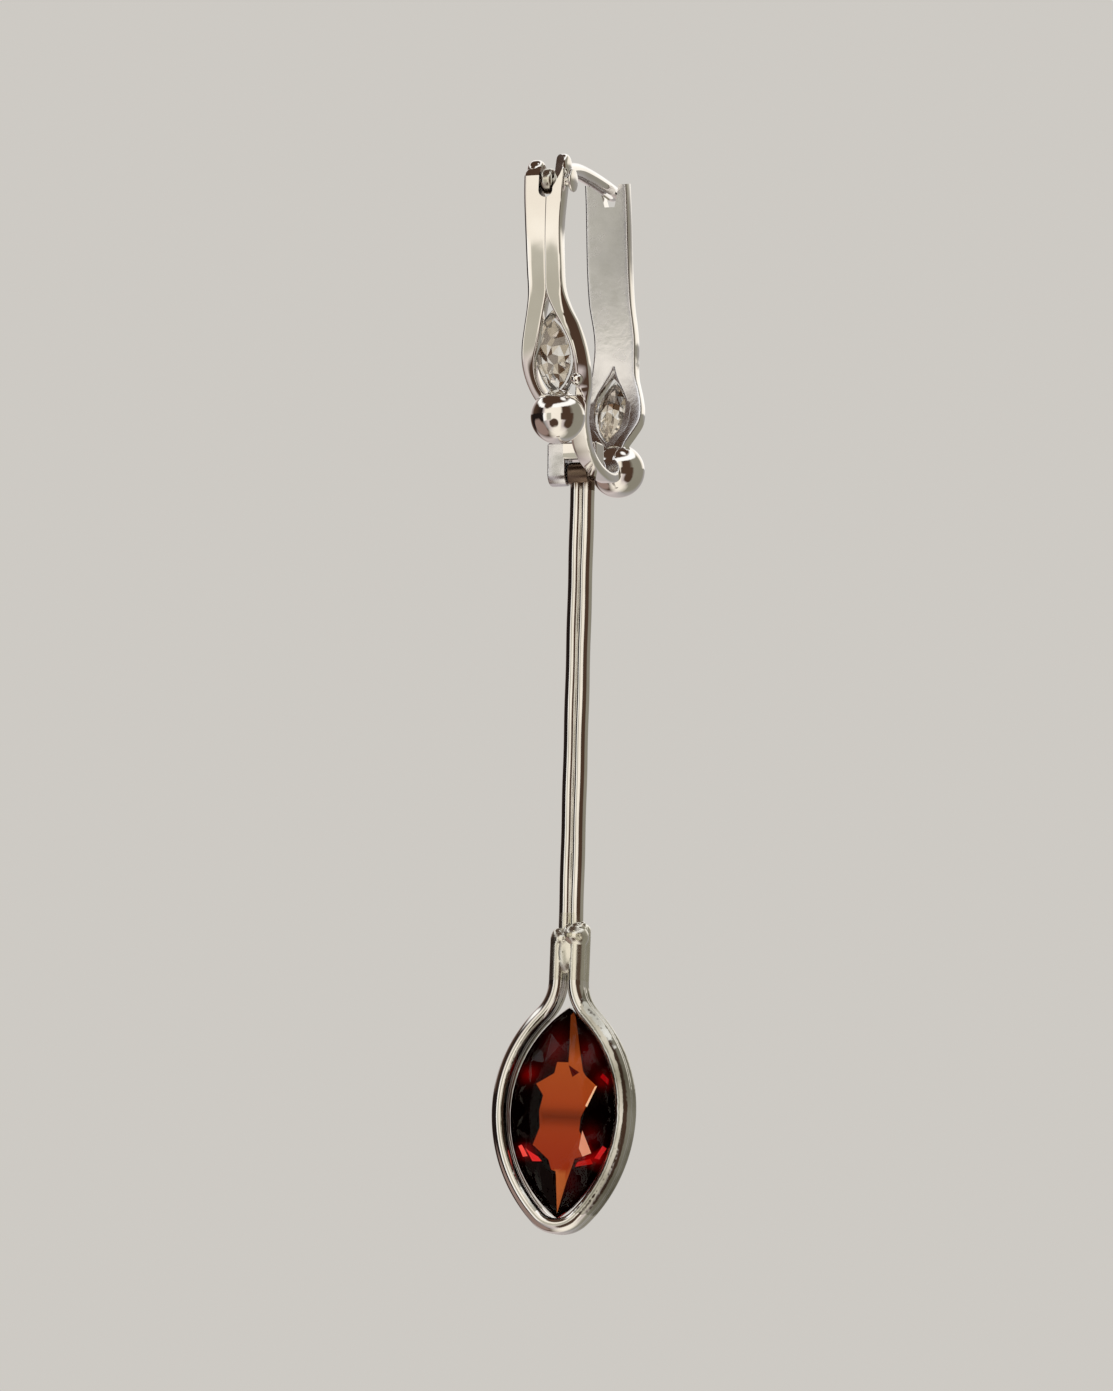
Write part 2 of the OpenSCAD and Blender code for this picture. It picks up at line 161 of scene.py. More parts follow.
# Drop, measured from the middle of the red stone
DROP_L = 40.1
DROP_LEAN = 1.1
FRAME_LEAN = 0.75
STEM_WIRE_D = 0.8
STEM_TOP_GAP = 0.35
STEM_END_Z = 10.2
FRAME_WIRE_D = 1.0
FRAME_HALF_W = 4.08
FRAME_GAP = 0.92
GROOVE_R = 0.462
NECK_Z = 10.8
NECK_TOP = 11.4
NECK_HALF_W = 0.64
LEFT_TOP_DROP = 0.7
RIGHT_DOME = 0.5
LEFT_DOME = 0.75
UPPER_R = 8.4
LOWER_R = 9.3
TIP_R = 1.85
THROAT_R = 3.0
GARNET_W = 7.0
GARNET_L = 13.3
STONE_Z = -0.1
STONE_LEAN = 1.2
# The wires are filed to slant a little backwards on their outer sides
WIRE_SLANT = 0.2


# ---------- Shapes of the hoop, as in the part's source ----------

def power(value, exponent):
    return math.copysign(abs(value) ** exponent, value)


def side_point(angle):
    """Middle of the strip's thickness in the side view, as (y, z)."""
    turn = math.radians(angle)
    low = math.sin(turn) > 0
    exponent = 2 / OVAL_SQUARENESS if low else 1
    height = OVAL_DROP if low else OVAL_RISE
    y = OVAL_Y - OVAL_DEPTH * power(math.cos(turn), exponent)
    z = WIDEST_Z - height * power(math.sin(turn), exponent) - OVAL_TILT * (y - OVAL_Y)
    return Vector((y, z))


def side_along(angle):
    return (side_point(angle + 0.5) - side_point(angle - 0.5)).normalized()


def side_out(angle):
    along = side_along(angle)
    return Vector((along[1], -along[0]))


def on_hoop(angle, across, lift):
    place = side_point(angle) + lift * side_out(angle)
    return Vector((across, place[0], place[1]))


def gap_slope(rows, i, column):
    return (rows[i + 1][column] - rows[i][column]) / (rows[i + 1][0] - rows[i][0])


def row_slope(rows, i, column):
    if i == 0:
        return gap_slope(rows, 0, column)
    if i == len(rows) - 1:
        return gap_slope(rows, i - 1, column)
    return (gap_slope(rows, i - 1, column) + gap_slope(rows, i, column)) / 2


def smooth_value(rows, angle, column):
    """Value of a table's column between its rows, on a smooth curve."""
    i = 0
    while i < len(rows) - 2 and angle >= rows[i + 1][0]:
        i += 1
    h = rows[i + 1][0] - rows[i][0]
    t = (angle - rows[i][0]) / h
    first = rows[i][column] * (1 + 2 * t) + h * row_slope(rows, i, column) * t
    second = rows[i + 1][column] * (3 - 2 * t) - h * row_slope(rows, i + 1, column) * (1 - t)
    return (1 - t) * (1 - t) * first + t * t * second


# ---------- Mesh helpers ----------

# What is cleared after a boolean: edges this short, and open slits of this many sides at most
SLIVER = 0.0005
MOST_HOLE_SIDES = 8


def progress(value, first, last):
    """How far a value has come from first to last, between 0 and 1."""
    return min(1, max(0, (value - first) / (last - first)))


def full_turn(count, offset=0):
    """Angles of a full turn in equal steps."""
    return [2 * math.pi * (j + offset) / count for j in range(count)]


def skin(count, first, second):
    """Faces between two closed loops, whose points start at the numbers first and second."""
    faces = []
    for j in range(count):
        after = (j + 1) % count
        faces.append((first + j, first + after, second + after, second + j))
    return faces


def link_object(name, data):
    obj = bpy.data.objects.new(name, data)
    bpy.context.scene.collection.objects.link(obj)
    return obj


@contextmanager
def editing(mesh):
    work = bmesh.new()
    work.from_mesh(mesh)
    yield work
    work.to_mesh(mesh)
    work.free()


def add_object(name, points, faces):
    mesh = bpy.data.meshes.new(name)
    mesh.from_pydata([Vector(p) * MM for p in points], [], faces)
    with editing(mesh) as work:
        bmesh.ops.recalc_face_normals(work, faces=work.faces)
    return link_object(name, mesh)


def apply_modifiers(obj):
    graph = bpy.context.evaluated_depsgraph_get()
    mesh = bpy.data.meshes.new_from_object(obj.evaluated_get(graph))
    obj.modifiers.clear()
    obj.data = mesh


def remove(objects):
    for obj in objects:
        bpy.data.objects.remove(obj)


def in_order(mesh):
    """The same mesh with its points and faces sorted. A boolean's threads leave them in an
    order that changes from run to run."""
    places = [tuple(vertex.co) for vertex in mesh.vertices]
    order = sorted(range(len(places)), key=lambda i: places[i])
    number = {old: new for new, old in enumerate(order)}
    faces = []
    for face in mesh.polygons:
        loop = [number[v] for v in face.vertices]
        first = loop.index(min(loop))
        faces.append(loop[first:] + loop[:first])
    made = bpy.data.meshes.new(mesh.name)
    made.from_pydata([places[i] for i in order], [], sorted(faces))
    return made


def drop_slivers(obj):
    """Clears the edges without length, doubled faces and slits that booleans leave. It comes
    after the last of them, because they need a closed mesh."""
    obj.data = in_order(obj.data)
    with editing(obj.data) as work:
        bmesh.ops.dissolve_degenerate(work, dist=SLIVER * MM, edges=work.edges)
        bmesh.ops.triangulate(work, faces=work.faces)
        bmesh.ops.dissolve_degenerate(work, dist=SLIVER * MM, edges=work.edges)
        groups = {}
        for face in work.faces:
            groups.setdefault(frozenset(face.verts), []).append(face)
        doubled = [face for group in groups.values() if len(group) > 1 for face in group]
        bmesh.ops.delete(work, geom=doubled, context="FACES")
        open_edges = [edge for edge in work.edges if edge.is_boundary]
        bmesh.ops.holes_fill(work, edges=open_edges, sides=MOST_HOLE_SIDES)


def combine(base, others, operation):
    """Unites the solids with the base, or cuts them from it."""
    for other in others:
        modifier = base.modifiers.new(operation, "BOOLEAN")
        modifier.operation = operation
        modifier.solver = "MANIFOLD"
        modifier.object = other
    apply_modifiers(base)
    remove(others)


def shade(obj, sharp_angle):
    obj.data.shade_smooth()
    obj.data.set_sharp_from_angle(angle=math.radians(sharp_angle))


def tube(name, rings):
    """A closed solid skinned over rings that all have the same number of points."""
    count = len(rings[0])
    points = [p for ring in rings for p in ring]
    last = len(points) - count
    faces = [face for i in range(0, last, count) for face in skin(count, i, i + count)]
    faces.append(tuple(reversed(range(count))))
    faces.append(tuple(range(last, len(points))))
    return add_object(name, points, faces)


def round_section(half_w, half_t, edge, crown):
    """Points of a rectangle with rounded edges and slightly crowned faces, as (across, lift)."""
    flat_steps = 12
    flat = half_w - edge
    turns = [math.pi / 2 * k / 5 for k in range(6)]
    corner = [(flat + edge * math.cos(t), half_t - edge + edge * math.sin(t)) for t in turns]
    top = [(flat * (1 - 2 * k / flat_steps), half_t) for k in range(1, flat_steps)]
    upper = corner + top + [(-x, y) for x, y in reversed(corner)]
    points = upper + [(-x, -y) for x, y in upper]
    lifted = []
    for x, y in points:
        rise = crown * max(0, 1 - (x / flat) ** 2)
        lifted.append((x, y - crown + rise if y > 0 else y + crown - rise))
    return lifted


def roller(name, x0, x1, y, z, radius, edge):
    """A cylinder along X with rounded edges."""
    steps = 6
    profile = [(x0 + edge - edge * math.sin(math.pi / 2 * k / steps),
                radius - edge + edge * math.cos(math.pi / 2 * k / steps))
               for k in range(steps, -1, -1)]
    mirrored = [(x0 + x1 - x, r) for x, r in reversed(profile)]
    turns = full_turn(48)
    return tube(name, [[(x, y + r * math.cos(turn), z + r * math.sin(turn)) for turn in turns]
                       for x, r in profile + mirrored])


def bore(x0, x1, y, z, pin_d):
    """Cutter for the hole of a pin, which turns freely in it."""
    return roller("bore", x0, x1, y, z, pin_d / 2 + RUNNING_GAP, BORE_EDGE)


def ball(name, centre, scale, columns=56, rows=36):
    mesh = bpy.data.meshes.new(name)
    size = Matrix.Diagonal((*[s * MM for s in scale], 1))
    place = Matrix.Translation(Vector(centre) * MM) @ size
    with editing(mesh) as work:
        bmesh.ops.create_uvsphere(work, u_segments=columns, v_segments=rows, radius=1)
        bmesh.ops.transform(work, matrix=place, verts=work.verts)
    return link_object(name, mesh)


def lumpy(obj, amount, size, seed):
    """Moves the points of a blob in and out by smooth noise. Amount and size are in mm."""
    for vertex in obj.data.vertices:
        shift = noise.noise(vertex.co / (size * MM) + Vector((seed, 0, 0)))
        vertex.co += vertex.normal * (shift * amount * MM)


def bevelled(obj, width):
    modifier = obj.modifiers.new("edges", "BEVEL")
    modifier.width = width * MM
    modifier.segments = 3
    modifier.limit_method = "ANGLE"
    modifier.angle_limit = math.radians(30)
    apply_modifiers(obj)
    return obj


def half_round(across, z, radius, steps):
    """The lower half of a circle, from one side to the other."""
    turns = [math.pi * (1 + k / steps) for k in range(steps + 1)]
    return [(across + radius * math.cos(turn), z + radius * math.sin(turn)) for turn in turns]


def prism(name, outline, axis, low, high):
    """A solid swept from an outline along one axis. Its points fill the other axes in order."""
    def place(point, along):
        rest = list(point)
        rest.insert(axis, along)
        return tuple(rest)

    count = len(outline)
    points = [place(p, low) for p in outline] + [place(p, high) for p in outline]
    faces = skin(count, 0, count)
    faces.append(tuple(range(count)))
    faces.append(tuple(range(2 * count - 1, count - 1, -1)))
    return add_object(name, points, faces)


# ---------- Hoop ----------

BAND_EDGE = 0.13
BAND_CROWN = 0.01
BAND_STEP = 1.0
# Rounded top corners of the two legs: radius, millimetres of leg for each degree there, the finer
# step in degrees, the angle where it ends, and the most of the inset that is taken
CORNER_R = 0.5
MM_PER_DEGREE = 0.33
CORNER_STEP = 0.15
CORNER_STEPS = 12
CORNER_END = 1.9
MOST_INSET = 0.98
# Wear on the left arm of the fork: the line where it starts, its slope, and the bevel at the top
WEAR_LINE = -0.26
WEAR_SLOPE = 0.09
BEVEL_START = -18
BEVEL_SLOPE = 0.55
# Turned face beside the front stone: the crease's place at its ends, how far it runs in, the slope
CREASE_X = 0.5
CREASE_RUN = 0.66
TURNED_SLOPE = 0.62


def edges_of(rows):
    def edges(angle):
        middle = smooth_value(rows, angle, 1)
        half_w = smooth_value(rows, angle, 2) / 2
        return middle - half_w, middle + half_w
    return edges


def joined_edges(angle):
    """The back strip above its stone, where its two bands are one flat strip."""
    return edges_of(MAIN)(angle)[0], edges_of(BACK_RIGHT)(angle)[1]


def worn_side(angle, across):
    """The fork's left arm is worn back up to a line down its face, and bevelled at its top."""
    fade = progress(angle, 10, 2)
    bevel = BEVEL_SLOPE * max(0, BEVEL_START - angle) * MM_PER_DEGREE
    return -WEAR_SLOPE * fade * max(0, WEAR_LINE - across) - bevel


def turned_face(angle, across):
    """The band right of the front stone turns away on the right of a crease."""
    crease = CREASE_X - CREASE_RUN * progress(angle, 3, 15) * progress(angle, 45, 37)
    return -TURNED_SLOPE * max(0, across - crease)


def band(name, edges, first, last, line=None, corner=0):
    """One band of the hoop, with rounded edges and almost flat faces."""
    steps = int(abs(last - first) / BAND_STEP)
    angles = [first + (last - first) * i / steps for i in range(steps + 1)]
    if corner:
        side = 1 if last > first else -1
        fine = [first + side * k * CORNER_STEP for k in range(CORNER_STEPS)]
        angles = fine + [a for a in angles if abs(a - first) > CORNER_END]
    rings = []
    for angle in angles:
        left, right = edges(angle)
        run = min(corner, abs(angle - first) * MM_PER_DEGREE)
        inset = corner - math.sqrt(corner * corner - (corner - run) ** 2) if corner else 0
        middle = (left + right) / 2
        half_w = (right - left) / 2 - MOST_INSET * inset
        half_t = smooth_value(THICKNESS, angle, 1) / 2
        section = round_section(half_w, half_t, BAND_EDGE, BAND_CROWN)
        if line:
            section = [(x, y + line(angle, x) if y > 0 else y) for x, y in section]
        rings.append([on_hoop(angle, middle + x, lift) for x, lift in section])
    return tube(name, rings)


def fork_slot():
    """Cutter for the slot between the fork's arms, with a round bottom."""
    half = SLOT_W / 2
    top = [(WIRE_X + half, 4.0), (WIRE_X - half, 4.0)]
    outline = top + half_round(WIRE_X, SLOT_BOTTOM_Z + half, half, 12)
    return prism("slot", outline, 1, -9.0, -3.0)


def notch():
    """Cutter for the notch that the ear wire lies in."""
    low_w, low_z = NOTCH_BOTTOM
    top_w, top_z = NOTCH_TOP
    outline = [(WIRE_X - low_w, low_z), (WIRE_X + low_w, low_z),
               (WIRE_X + top_w, top_z), (WIRE_X - top_w, top_z)]
    return prism("notch", outline, 1, 4.0, 8.0)


def drop_lug():
    """Side plate and bridge that carry the drop's pin."""
    half = LUG_D / 2
    top = BRIDGE_Z + BRIDGE_T
    outline = [(DROP_Y + half, top), (DROP_Y - half, top)] + half_round(DROP_Y, DROP_Z, half, 24)
    plate = bevelled(prism("plate", outline, 0, LUG_X0, LUG_X1), PLATE_EDGE)
    parts = [plate]
    bars = ((LUG_X0, BRIDGE_Z, PLATE_EDGE), (BRIDGE_FOOT_X0, BRIDGE_FOOT_Z, FOOT_EDGE))
    for x0, z0, edge in bars:
        bar = [(x0, z0), (BRIDGE_X1, z0), (BRIDGE_X1, top), (x0, top)]
        parts.append(bevelled(prism("bar", bar, 1, DROP_Y - half, DROP_Y + half), edge))
    return parts


def ring_solid(name, loops):
    """A solid ring skinned over closed loops of points, the last of which joins the first."""
    count = len(loops[0])
    points = [p for loop in loops for p in loop]
    faces = []
    for i in range(len(loops)):
        after = (i + 1) % len(loops)
        faces.extend(skin(count, i * count, after * count))
    return add_object(name, points, faces)


def stone_seat(stone):
    """Marquise cup round a hoop stone, which closes the opening between the two bands."""
    place = at_hoop_stone(stone)

    def loop(grow_side, grow_end, depth):
        outline = marquise(CRYSTAL_L + 2 * grow_end, CRYSTAL_W + 2 * grow_side, 16)
        return [place @ Vector((x, depth, z)) for x, z in outline]

    edge = 0.05
    return ring_solid("seat", [
        loop(SEAT_SIDE - edge, SEAT_END - edge, SEAT_FRONT),
        loop(SEAT_SIDE, SEAT_END, SEAT_FRONT + edge),
        loop(SEAT_SIDE, SEAT_END, SEAT_BACK),
        loop(SEAT_GAP, SEAT_GAP, SEAT_BACK),
        loop(SEAT_GAP, SEAT_GAP, SEAT_FRONT + SEAT_SLOPE),
    ])


def worn_corner():
    """Cutter for the slanted corner on the slot side of the fork's right arm. Its first face
    goes through the places low, right and back, and it reaches out from there to the front."""
    low = Vector((0.42, -6.71, -1.6))
    right = Vector((1.28, -6.63, 0.0))
    back = Vector((0.42, -6.02, 0.30))
    across = right - low
    up = back - low
    corners = [low - 0.02 * up, low + 1.05 * across, low + 1.05 * across + 1.5 * up, low + 1.6 * up]
    out = Vector((-0.25, -1.5, 0.25))
    points = corners + [c + out for c in corners]
    faces = [(0, 1, 2, 3), (7, 6, 5, 4), (0, 4, 5, 1), (1, 5, 6, 2), (2, 6, 7, 3), (3, 7, 4, 0)]
    return add_object("worn_corner", points, faces)


def inner_side(place, normal):
    """Whether a face looks in towards the middle of the hoop, below the ear wire's hinge or on
    the back strip. Places are in millimetres. Along the legs, inwards is level."""
    up = WIDEST_Z - 1 - place.z
    if up < 0:
        up = min(0, up + 4)
    inward = Vector((0, OVAL_Y - place.y, 0.5 * up)).normalized()
    return (place.z < -1.4 or place.y > 3) and normal.dot(inward) > 0.35


def hoop_material(place, normal, balls):
    """1 for the brushed inner sides and the plate of the drop's pin, 2 for the slot's walls,
    darkened as painted shade.
    """
    if any((place - b).length < BALL_D / 2 + 0.04 for b in balls):
        return 0
    in_slot = place.z > SLOT_BOTTOM_Z - 0.05 and abs(place.x - WIRE_X) < SLOT_W / 2 + 0.02
    # The slot's walls are dark brown: painted shade in the recess
    if place.y < -4 and in_slot and abs(normal.y) < 0.5:
        return 2
    on_plate = place.z < BRIDGE_Z + BRIDGE_T and place.x < LUG_X1 + 0.05
    return 1 if on_plate or inner_side(place, normal) else 0


def mark_hoop(obj):
    balls = [on_hoop(angle, across, BALL_LIFT) for angle, across in BALLS]
    for face in obj.data.polygons:
        face.material_index = hoop_material(face.center / MM, face.normal, balls)


def make_hoop():
    body = band("hoop_metal", edges_of(MAIN), TOP_FRONT, 173, turned_face, CORNER_R)
    slot_left = WIRE_X - SLOT_W / 2
    slot_right = WIRE_X + SLOT_W / 2
    top_r = FORK_TOP_D / 2
    parts = [
        band("front_left", edges_of(FRONT_LEFT), TOP_FRONT, 46, worn_side, CORNER_R),
        band("back_right", edges_of(BACK_RIGHT), 173, 129),
        band("back_strip", joined_edges, TOP_BACK, 171.6),
        roller("fork_left", FORK_TOP_X0, slot_left, FORK_TOP_Y + FORK_LEFT_BACK, FORK_LEFT_TOP_Z,
               top_r, FORK_LEFT_EDGE),
        roller("fork_right", slot_right, FORK_TOP_X1, FORK_TOP_Y, FORK_RIGHT_TOP_Z,
               top_r, FORK_RIGHT_EDGE),
    ]
    for angle, across in BALLS:
        parts.append(ball("bead", on_hoop(angle, across, BALL_LIFT), [BALL_D / 2] * 3))
    for angle, across in CLAWS:
        parts.append(ball("claw", on_hoop(angle, across, STRIP_T / 2), [CLAW_D / 2] * 3, 24, 16))
    parts.extend(drop_lug())
    parts.append(stone_seat(FRONT_STONE))
    parts.append(stone_seat(BACK_STONE))
    combine(body, parts, "UNION")
    cuts = [
        fork_slot(),
        notch(),
        worn_corner(),
        bore(FORK_LEFT - 1, FORK_RIGHT + 1, HINGE_Y, HINGE_Z, PIN_D),
        bore(LUG_X0 - 1, BRIDGE_X1, DROP_Y, DROP_Z, DROP_PIN_D),
    ]
    combine(body, cuts, "DIFFERENCE")
    drop_slivers(body)
    shade(body, 24)
    mark_hoop(body)
    return body


# ---------- Hinge pin, ear wire, drop pin ----------

def make_hinge_pin():
    end = FORK_RIGHT + PIN_OVERHANG
    shaft = roller("hinge_rivet", FORK_LEFT, end - 0.1, HINGE_Y, HINGE_Z, PIN_D / 2, 0.06)
    head = roller("head", end - PIN_HEAD_T, end, HINGE_Y, HINGE_Z, PIN_HEAD_D / 2, 0.09)
    combine(shaft, [head], "UNION")
    drop_slivers(shaft)
    shade(shaft, 35)
    return shaft


def arch_point(y):
    radius = ARCH_FRONT_R if y < 0 else ARCH_BACK_R
    drop = math.sqrt(radius * radius - y * y)
    return WIRE_D / 2 - radius + drop, -math.atan(y / drop)


def make_ear_wire():
    rings = []
    steps = 90
    for i in range(steps + 1):
        y = ARCH_START_Y + (ARCH_END_Y - ARCH_START_Y) * i / steps
        z, slope = arch_point(y)
        flat = progress(y, ROUND_START_Y, FLAT_END_Y)
        half_w = WIRE_D / 2 - flat * ((WIRE_D - TONGUE_W) / 2 + 0.02)
        tip = 1 - 0.55 * max(0, 1 - (ARCH_END_Y - y) / 0.4) ** 2
        ring = []
        for turn in full_turn(32, 0.5):
            across = half_w * math.cos(turn) * tip
            up = WIRE_D / 2 * math.sin(turn) * tip
            ring.append((WIRE_X + across, y - up * math.sin(slope), z + up * math.cos(slope)))
        rings.append(ring)
    wire = tube("ear_wire_metal", rings)
    tongue = roller("tongue", WIRE_X - TONGUE_W / 2, WIRE_X + TONGUE_W / 2, HINGE_Y, HINGE_Z,
                    TONGUE_D / 2, 0.26)
    combine(wire, [tongue], "UNION")
    combine(wire, [bore(WIRE_X - 1, WIRE_X + 1, HINGE_Y, HINGE_Z, PIN_D)], "DIFFERENCE")
    drop_slivers(wire)
    shade(wire, 35)
    for face in wire.data.polygons:
        face.material_index = 1 if face.center.y < SOLDERED_END_Y * MM else 0
    return wire


def make_drop_pin():
    pin = roller("drop_rivet", LUG_X0, BRIDGE_X1 - 0.05, DROP_Y, DROP_Z, DROP_PIN_D / 2, 0.1)
    shade(pin, 35)
    return pin


# ---------- Drop ----------

AT_DROP = (Matrix.Translation((STEM_X, DROP_Y, DROP_Z))
           @ Matrix.Rotation(math.radians(DROP_LEAN), 4, "Y")
           @ Matrix.Translation((0, 0, -DROP_L)))
AT_FRAME = (AT_DROP
            @ Matrix.Translation((0, 0, NECK_Z))
            @ Matrix.Rotation(math.radians(FRAME_LEAN), 4, "Y")
            @ Matrix.Translation((0, 0, -NECK_Z)))
AT_STONE = (AT_FRAME
            @ Matrix.Translation((0, 0, STONE_Z))
            @ Matrix.Rotation(math.radians(STONE_LEAN), 4, "Y"))


def frame_path():
    """Middle of the frame's wire in the front view, as x, z and the outward direction."""
    upper_x = FRAME_HALF_W - UPPER_R
    lower_x = FRAME_HALF_W - LOWER_R
    throat_x = NECK_HALF_W + THROAT_R
    throat_z = math.sqrt((UPPER_R + THROAT_R) ** 2 - (throat_x - upper_x) ** 2)
    throat_turn = math.degrees(math.atan2(throat_z, throat_x - upper_x))
    tip_z = -math.sqrt((LOWER_R - TIP_R) ** 2 - lower_x ** 2)
    tip_turn = math.degrees(math.atan2(tip_z, -lower_x))
    bends = [
        (throat_x, throat_z, THROAT_R, 180, 180 + throat_turn, -1),
        (upper_x, 0, UPPER_R, throat_turn, 0, 1),
        (lower_x, 0, LOWER_R, 0, tip_turn, 1),
        (0, tip_z, TIP_R, tip_turn, -90, 1),
    ]
    half = []
    for k in range(6):
        half.append((NECK_HALF_W, NECK_TOP + (throat_z - NECK_TOP) * k / 6, 1, 0))
    for x, z, radius, first, last, side in bends:
        steps = math.ceil(radius * math.radians(abs(last - first)) / 0.22)
        for i in range(steps):
            turn = math.radians(first + (last - first) * i / steps)
            half.append((x + radius * math.cos(turn), z + radius * math.sin(turn),
                         side * math.cos(turn), side * math.sin(turn)))
    tip = [(0, tip_z - TIP_R, 0, -1)]
    other = [(-x, z, -ox, oz) for x, z, ox, oz in reversed(half)]
    return half + tip + other


def frame_wire(name, y, radius=FRAME_WIRE_D / 2):
    """One of the frame's two round wires, with rounded ends at the neck. The left end is lower.
    A slightly thinner one between them is the solder that fills their groove."""
    path = [p for p in frame_path() if p[0] > 0 or p[1] < NECK_TOP - LEFT_TOP_DROP]
    rings = []

    def ring(x, z, ox, oz, scale):
        points = []
        for turn in full_turn(28):
            out = scale * radius * math.cos(turn)
            deep = scale * radius * math.sin(turn) + WIRE_SLANT * out
            points.append(AT_FRAME @ Vector((x + ox * out, y + deep, z + oz * out)))
        return points

    def dome(side, top, turn):
        rise = RIGHT_DOME if side > 0 else LEFT_DOME
        return ring(side * NECK_HALF_W, top + rise * math.sin(turn), side, 0, math.cos(turn))

    turns = [math.radians(88) * k / 8 for k in range(9)]
    for turn in reversed(turns[1:]):
        rings.append(dome(1, NECK_TOP - 0.08, turn))
    for x, z, ox, oz in path[1:]:
        rings.append(ring(x, z, ox, oz, 1))
    for turn in turns:
        rings.append(dome(-1, NECK_TOP - LEFT_TOP_DROP, turn))
    return tube(name, rings)


def stem_wire(name, side):
    radius = STEM_WIRE_D / 2
    middle = side * (radius - 0.01)
    top = DROP_L - STEM_TOP_GAP
    rings = []
    steps = 40
    for i in range(steps + 1):
        z = STEM_END_Z + (top - STEM_END_Z) * i / steps
        wander = 0.012 * math.sin(i * 0.9 + side) * min(1, i / 4) * min(1, (steps - i) / 4)
        ring = []
        for turn in full_turn(32):
            out = radius * math.cos(turn)
            deep = radius * math.sin(turn) + WIRE_SLANT * out * side
            ring.append(AT_DROP @ Vector((middle + wander + out, deep, z)))
        rings.append(ring)
    return tube(name, rings)


# Lumps of solder that fill the neck and hold the stem, and blow holes in them. Columns: middle,
# half sizes, unevenness and its size, seed.
SOLDER = [
    ((0.0, -0.1, 10.3), (0.55, 0.78, 1.5), 0.08, 1.4, 3),
    ((-0.42, -0.25, 10.72), (0.66, 0.78, 0.66), 0.05, 1.2, 8),
    ((0.50, -0.30, 10.92), (0.82, 0.87, 0.80), 0.07, 1.1, 11),
    ((0.95, -0.45, 11.66), (0.2, 0.2, 0.2), 0.02, 0.5, 7),
    ((0.0, -0.46, 9.85), (0.85, 0.57, 1.35), 0.04, 1.3, 5),
]
PITS = [
    ((0.34, -1.18, 10.96), (0.22, 0.34, 0.16), 0.04, 0.3, 2),
    ((0.93, -1.06, 10.84), (0.18, 0.36, 0.24), 0.04, 0.3, 2),
    ((0.62, -1.16, 11.2), (0.08, 0.12, 0.07), 0.04, 0.3, 2),
    ((-0.1, -0.95, 9.9), (0.06, 0.1, 0.05), 0.04, 0.3, 2),
]


def blobs(table, columns, rows):
    made = []
    for centre, scale, amount, size, seed in table:
        blob = ball("blob", AT_FRAME @ Vector(centre), scale, columns, rows)
        lumpy(blob, amount, size, seed)
        made.append(blob)
    return made


def drop_material(place, normal):
    """1 for the soldered neck, 2 for painted shade on the right arm and a painted reflection of the
    dark stone on the inner walls, 3 for painted shade on the knuckle.
    """
    if 8.2 < place.z < 12.2 and place.y > -2:
        return 1
    # The knuckle at the top is dark brown: painted shade
    if place.z > DROP_L - 2:
        return 3 if place.z > DROP_L - 0.9 else 0
    # The right arm is darkened as painted shade, and the inner walls as a painted reflection of the
    # dark stone
    if -6.4 < place.z < 8.4 and (place.x > 1.2 or (place.x < -1.2 and normal.x > 0.25)):
        return 2
    return 0


def mark_drop(obj):
    """Soldered faces, and faces darkened by painted shade and painted reflection, take the piece's
    other materials.
    """
    back = AT_FRAME.inverted()
    for face in obj.data.polygons:
        face.material_index = drop_material(back @ (face.center / MM), face.normal)


def make_drop():
    body = frame_wire("drop_metal", -FRAME_GAP / 2)
    parts = [
        frame_wire("back_wire", FRAME_GAP / 2),
        frame_wire("groove_solder", 0, GROOVE_R),
        stem_wire("stem", -1),
        stem_wire("stem", 1),
        roller("knuckle", KNUCKLE_X0, KNUCKLE_X1, DROP_Y, DROP_Z, KNUCKLE_D / 2, 0.12),
    ]
    combine(body, parts + blobs(SOLDER, 40, 28), "UNION")
    cuts = [bore(KNUCKLE_X0 - 1, KNUCKLE_X1 + 1, DROP_Y, DROP_Z, DROP_PIN_D)]
    combine(body, cuts + blobs(PITS, 24, 16), "DIFFERENCE")
    drop_slivers(body)
    shade(body, 40)
    mark_drop(body)
    return body


# ---------- Stones ----------

def marquise(length, width, count):
    """Outline of a marquise, from one end round to the other and back, as (x, z)."""
    radius = (length * length + width * width) / (4 * width)
    half = math.asin(length / 2 / radius)
    points = []
    for i in range(2 * count):
        side = 1 if i < count else -1
        turn = -half + 2 * half * (i % count) / count
        points.append((side * (radius * math.cos(turn) - radius + width / 2),
                       side * radius * math.sin(turn)))
    return points


def brilliant(name, length, width, count, crown, pavilion, place):
    """A cut stone with table, star, kite and girdle facets. crown and pavilion hold rows of
    depth, scale across and scale along, from the table and the keel to the girdle."""
    outline = marquise(length, width, count)
    total = len(outline)
    picks = [outline[0::2], outline[1::2], outline]
    points = []
    rings = []
    for row, picked in list(zip(crown, picks)) + list(zip(pavilion, picks))[::-1]:
        depth, across, along = row
        rings.append(range(len(points), len(points) + len(picked)))
        points += [place @ Vector((x * across, depth, z * along)) for x, z in picked]
    table, stars, upper, lower, mids, keel = rings
    n = len(table)
    faces = [tuple(table), tuple(reversed(keel))]
    for i in range(n):
        after = (i + 1) % n
        before = (i - 1) % n
        for flat, middle, girdle in ((table, stars, upper), (keel, mids, lower)):
            faces.append((flat[i], flat[after], middle[i]))
            faces.append((flat[i], middle[before], girdle[2 * i], middle[i]))
            faces.append((middle[i], girdle[2 * i], girdle[2 * i + 1]))
            faces.append((middle[i], girdle[2 * i + 1], girdle[(2 * i + 2) % total]))
    for j in range(total):
        after = (j + 1) % total
        faces.append((upper[j], upper[after], lower[after], lower[j]))
    return add_object(name, points, faces)


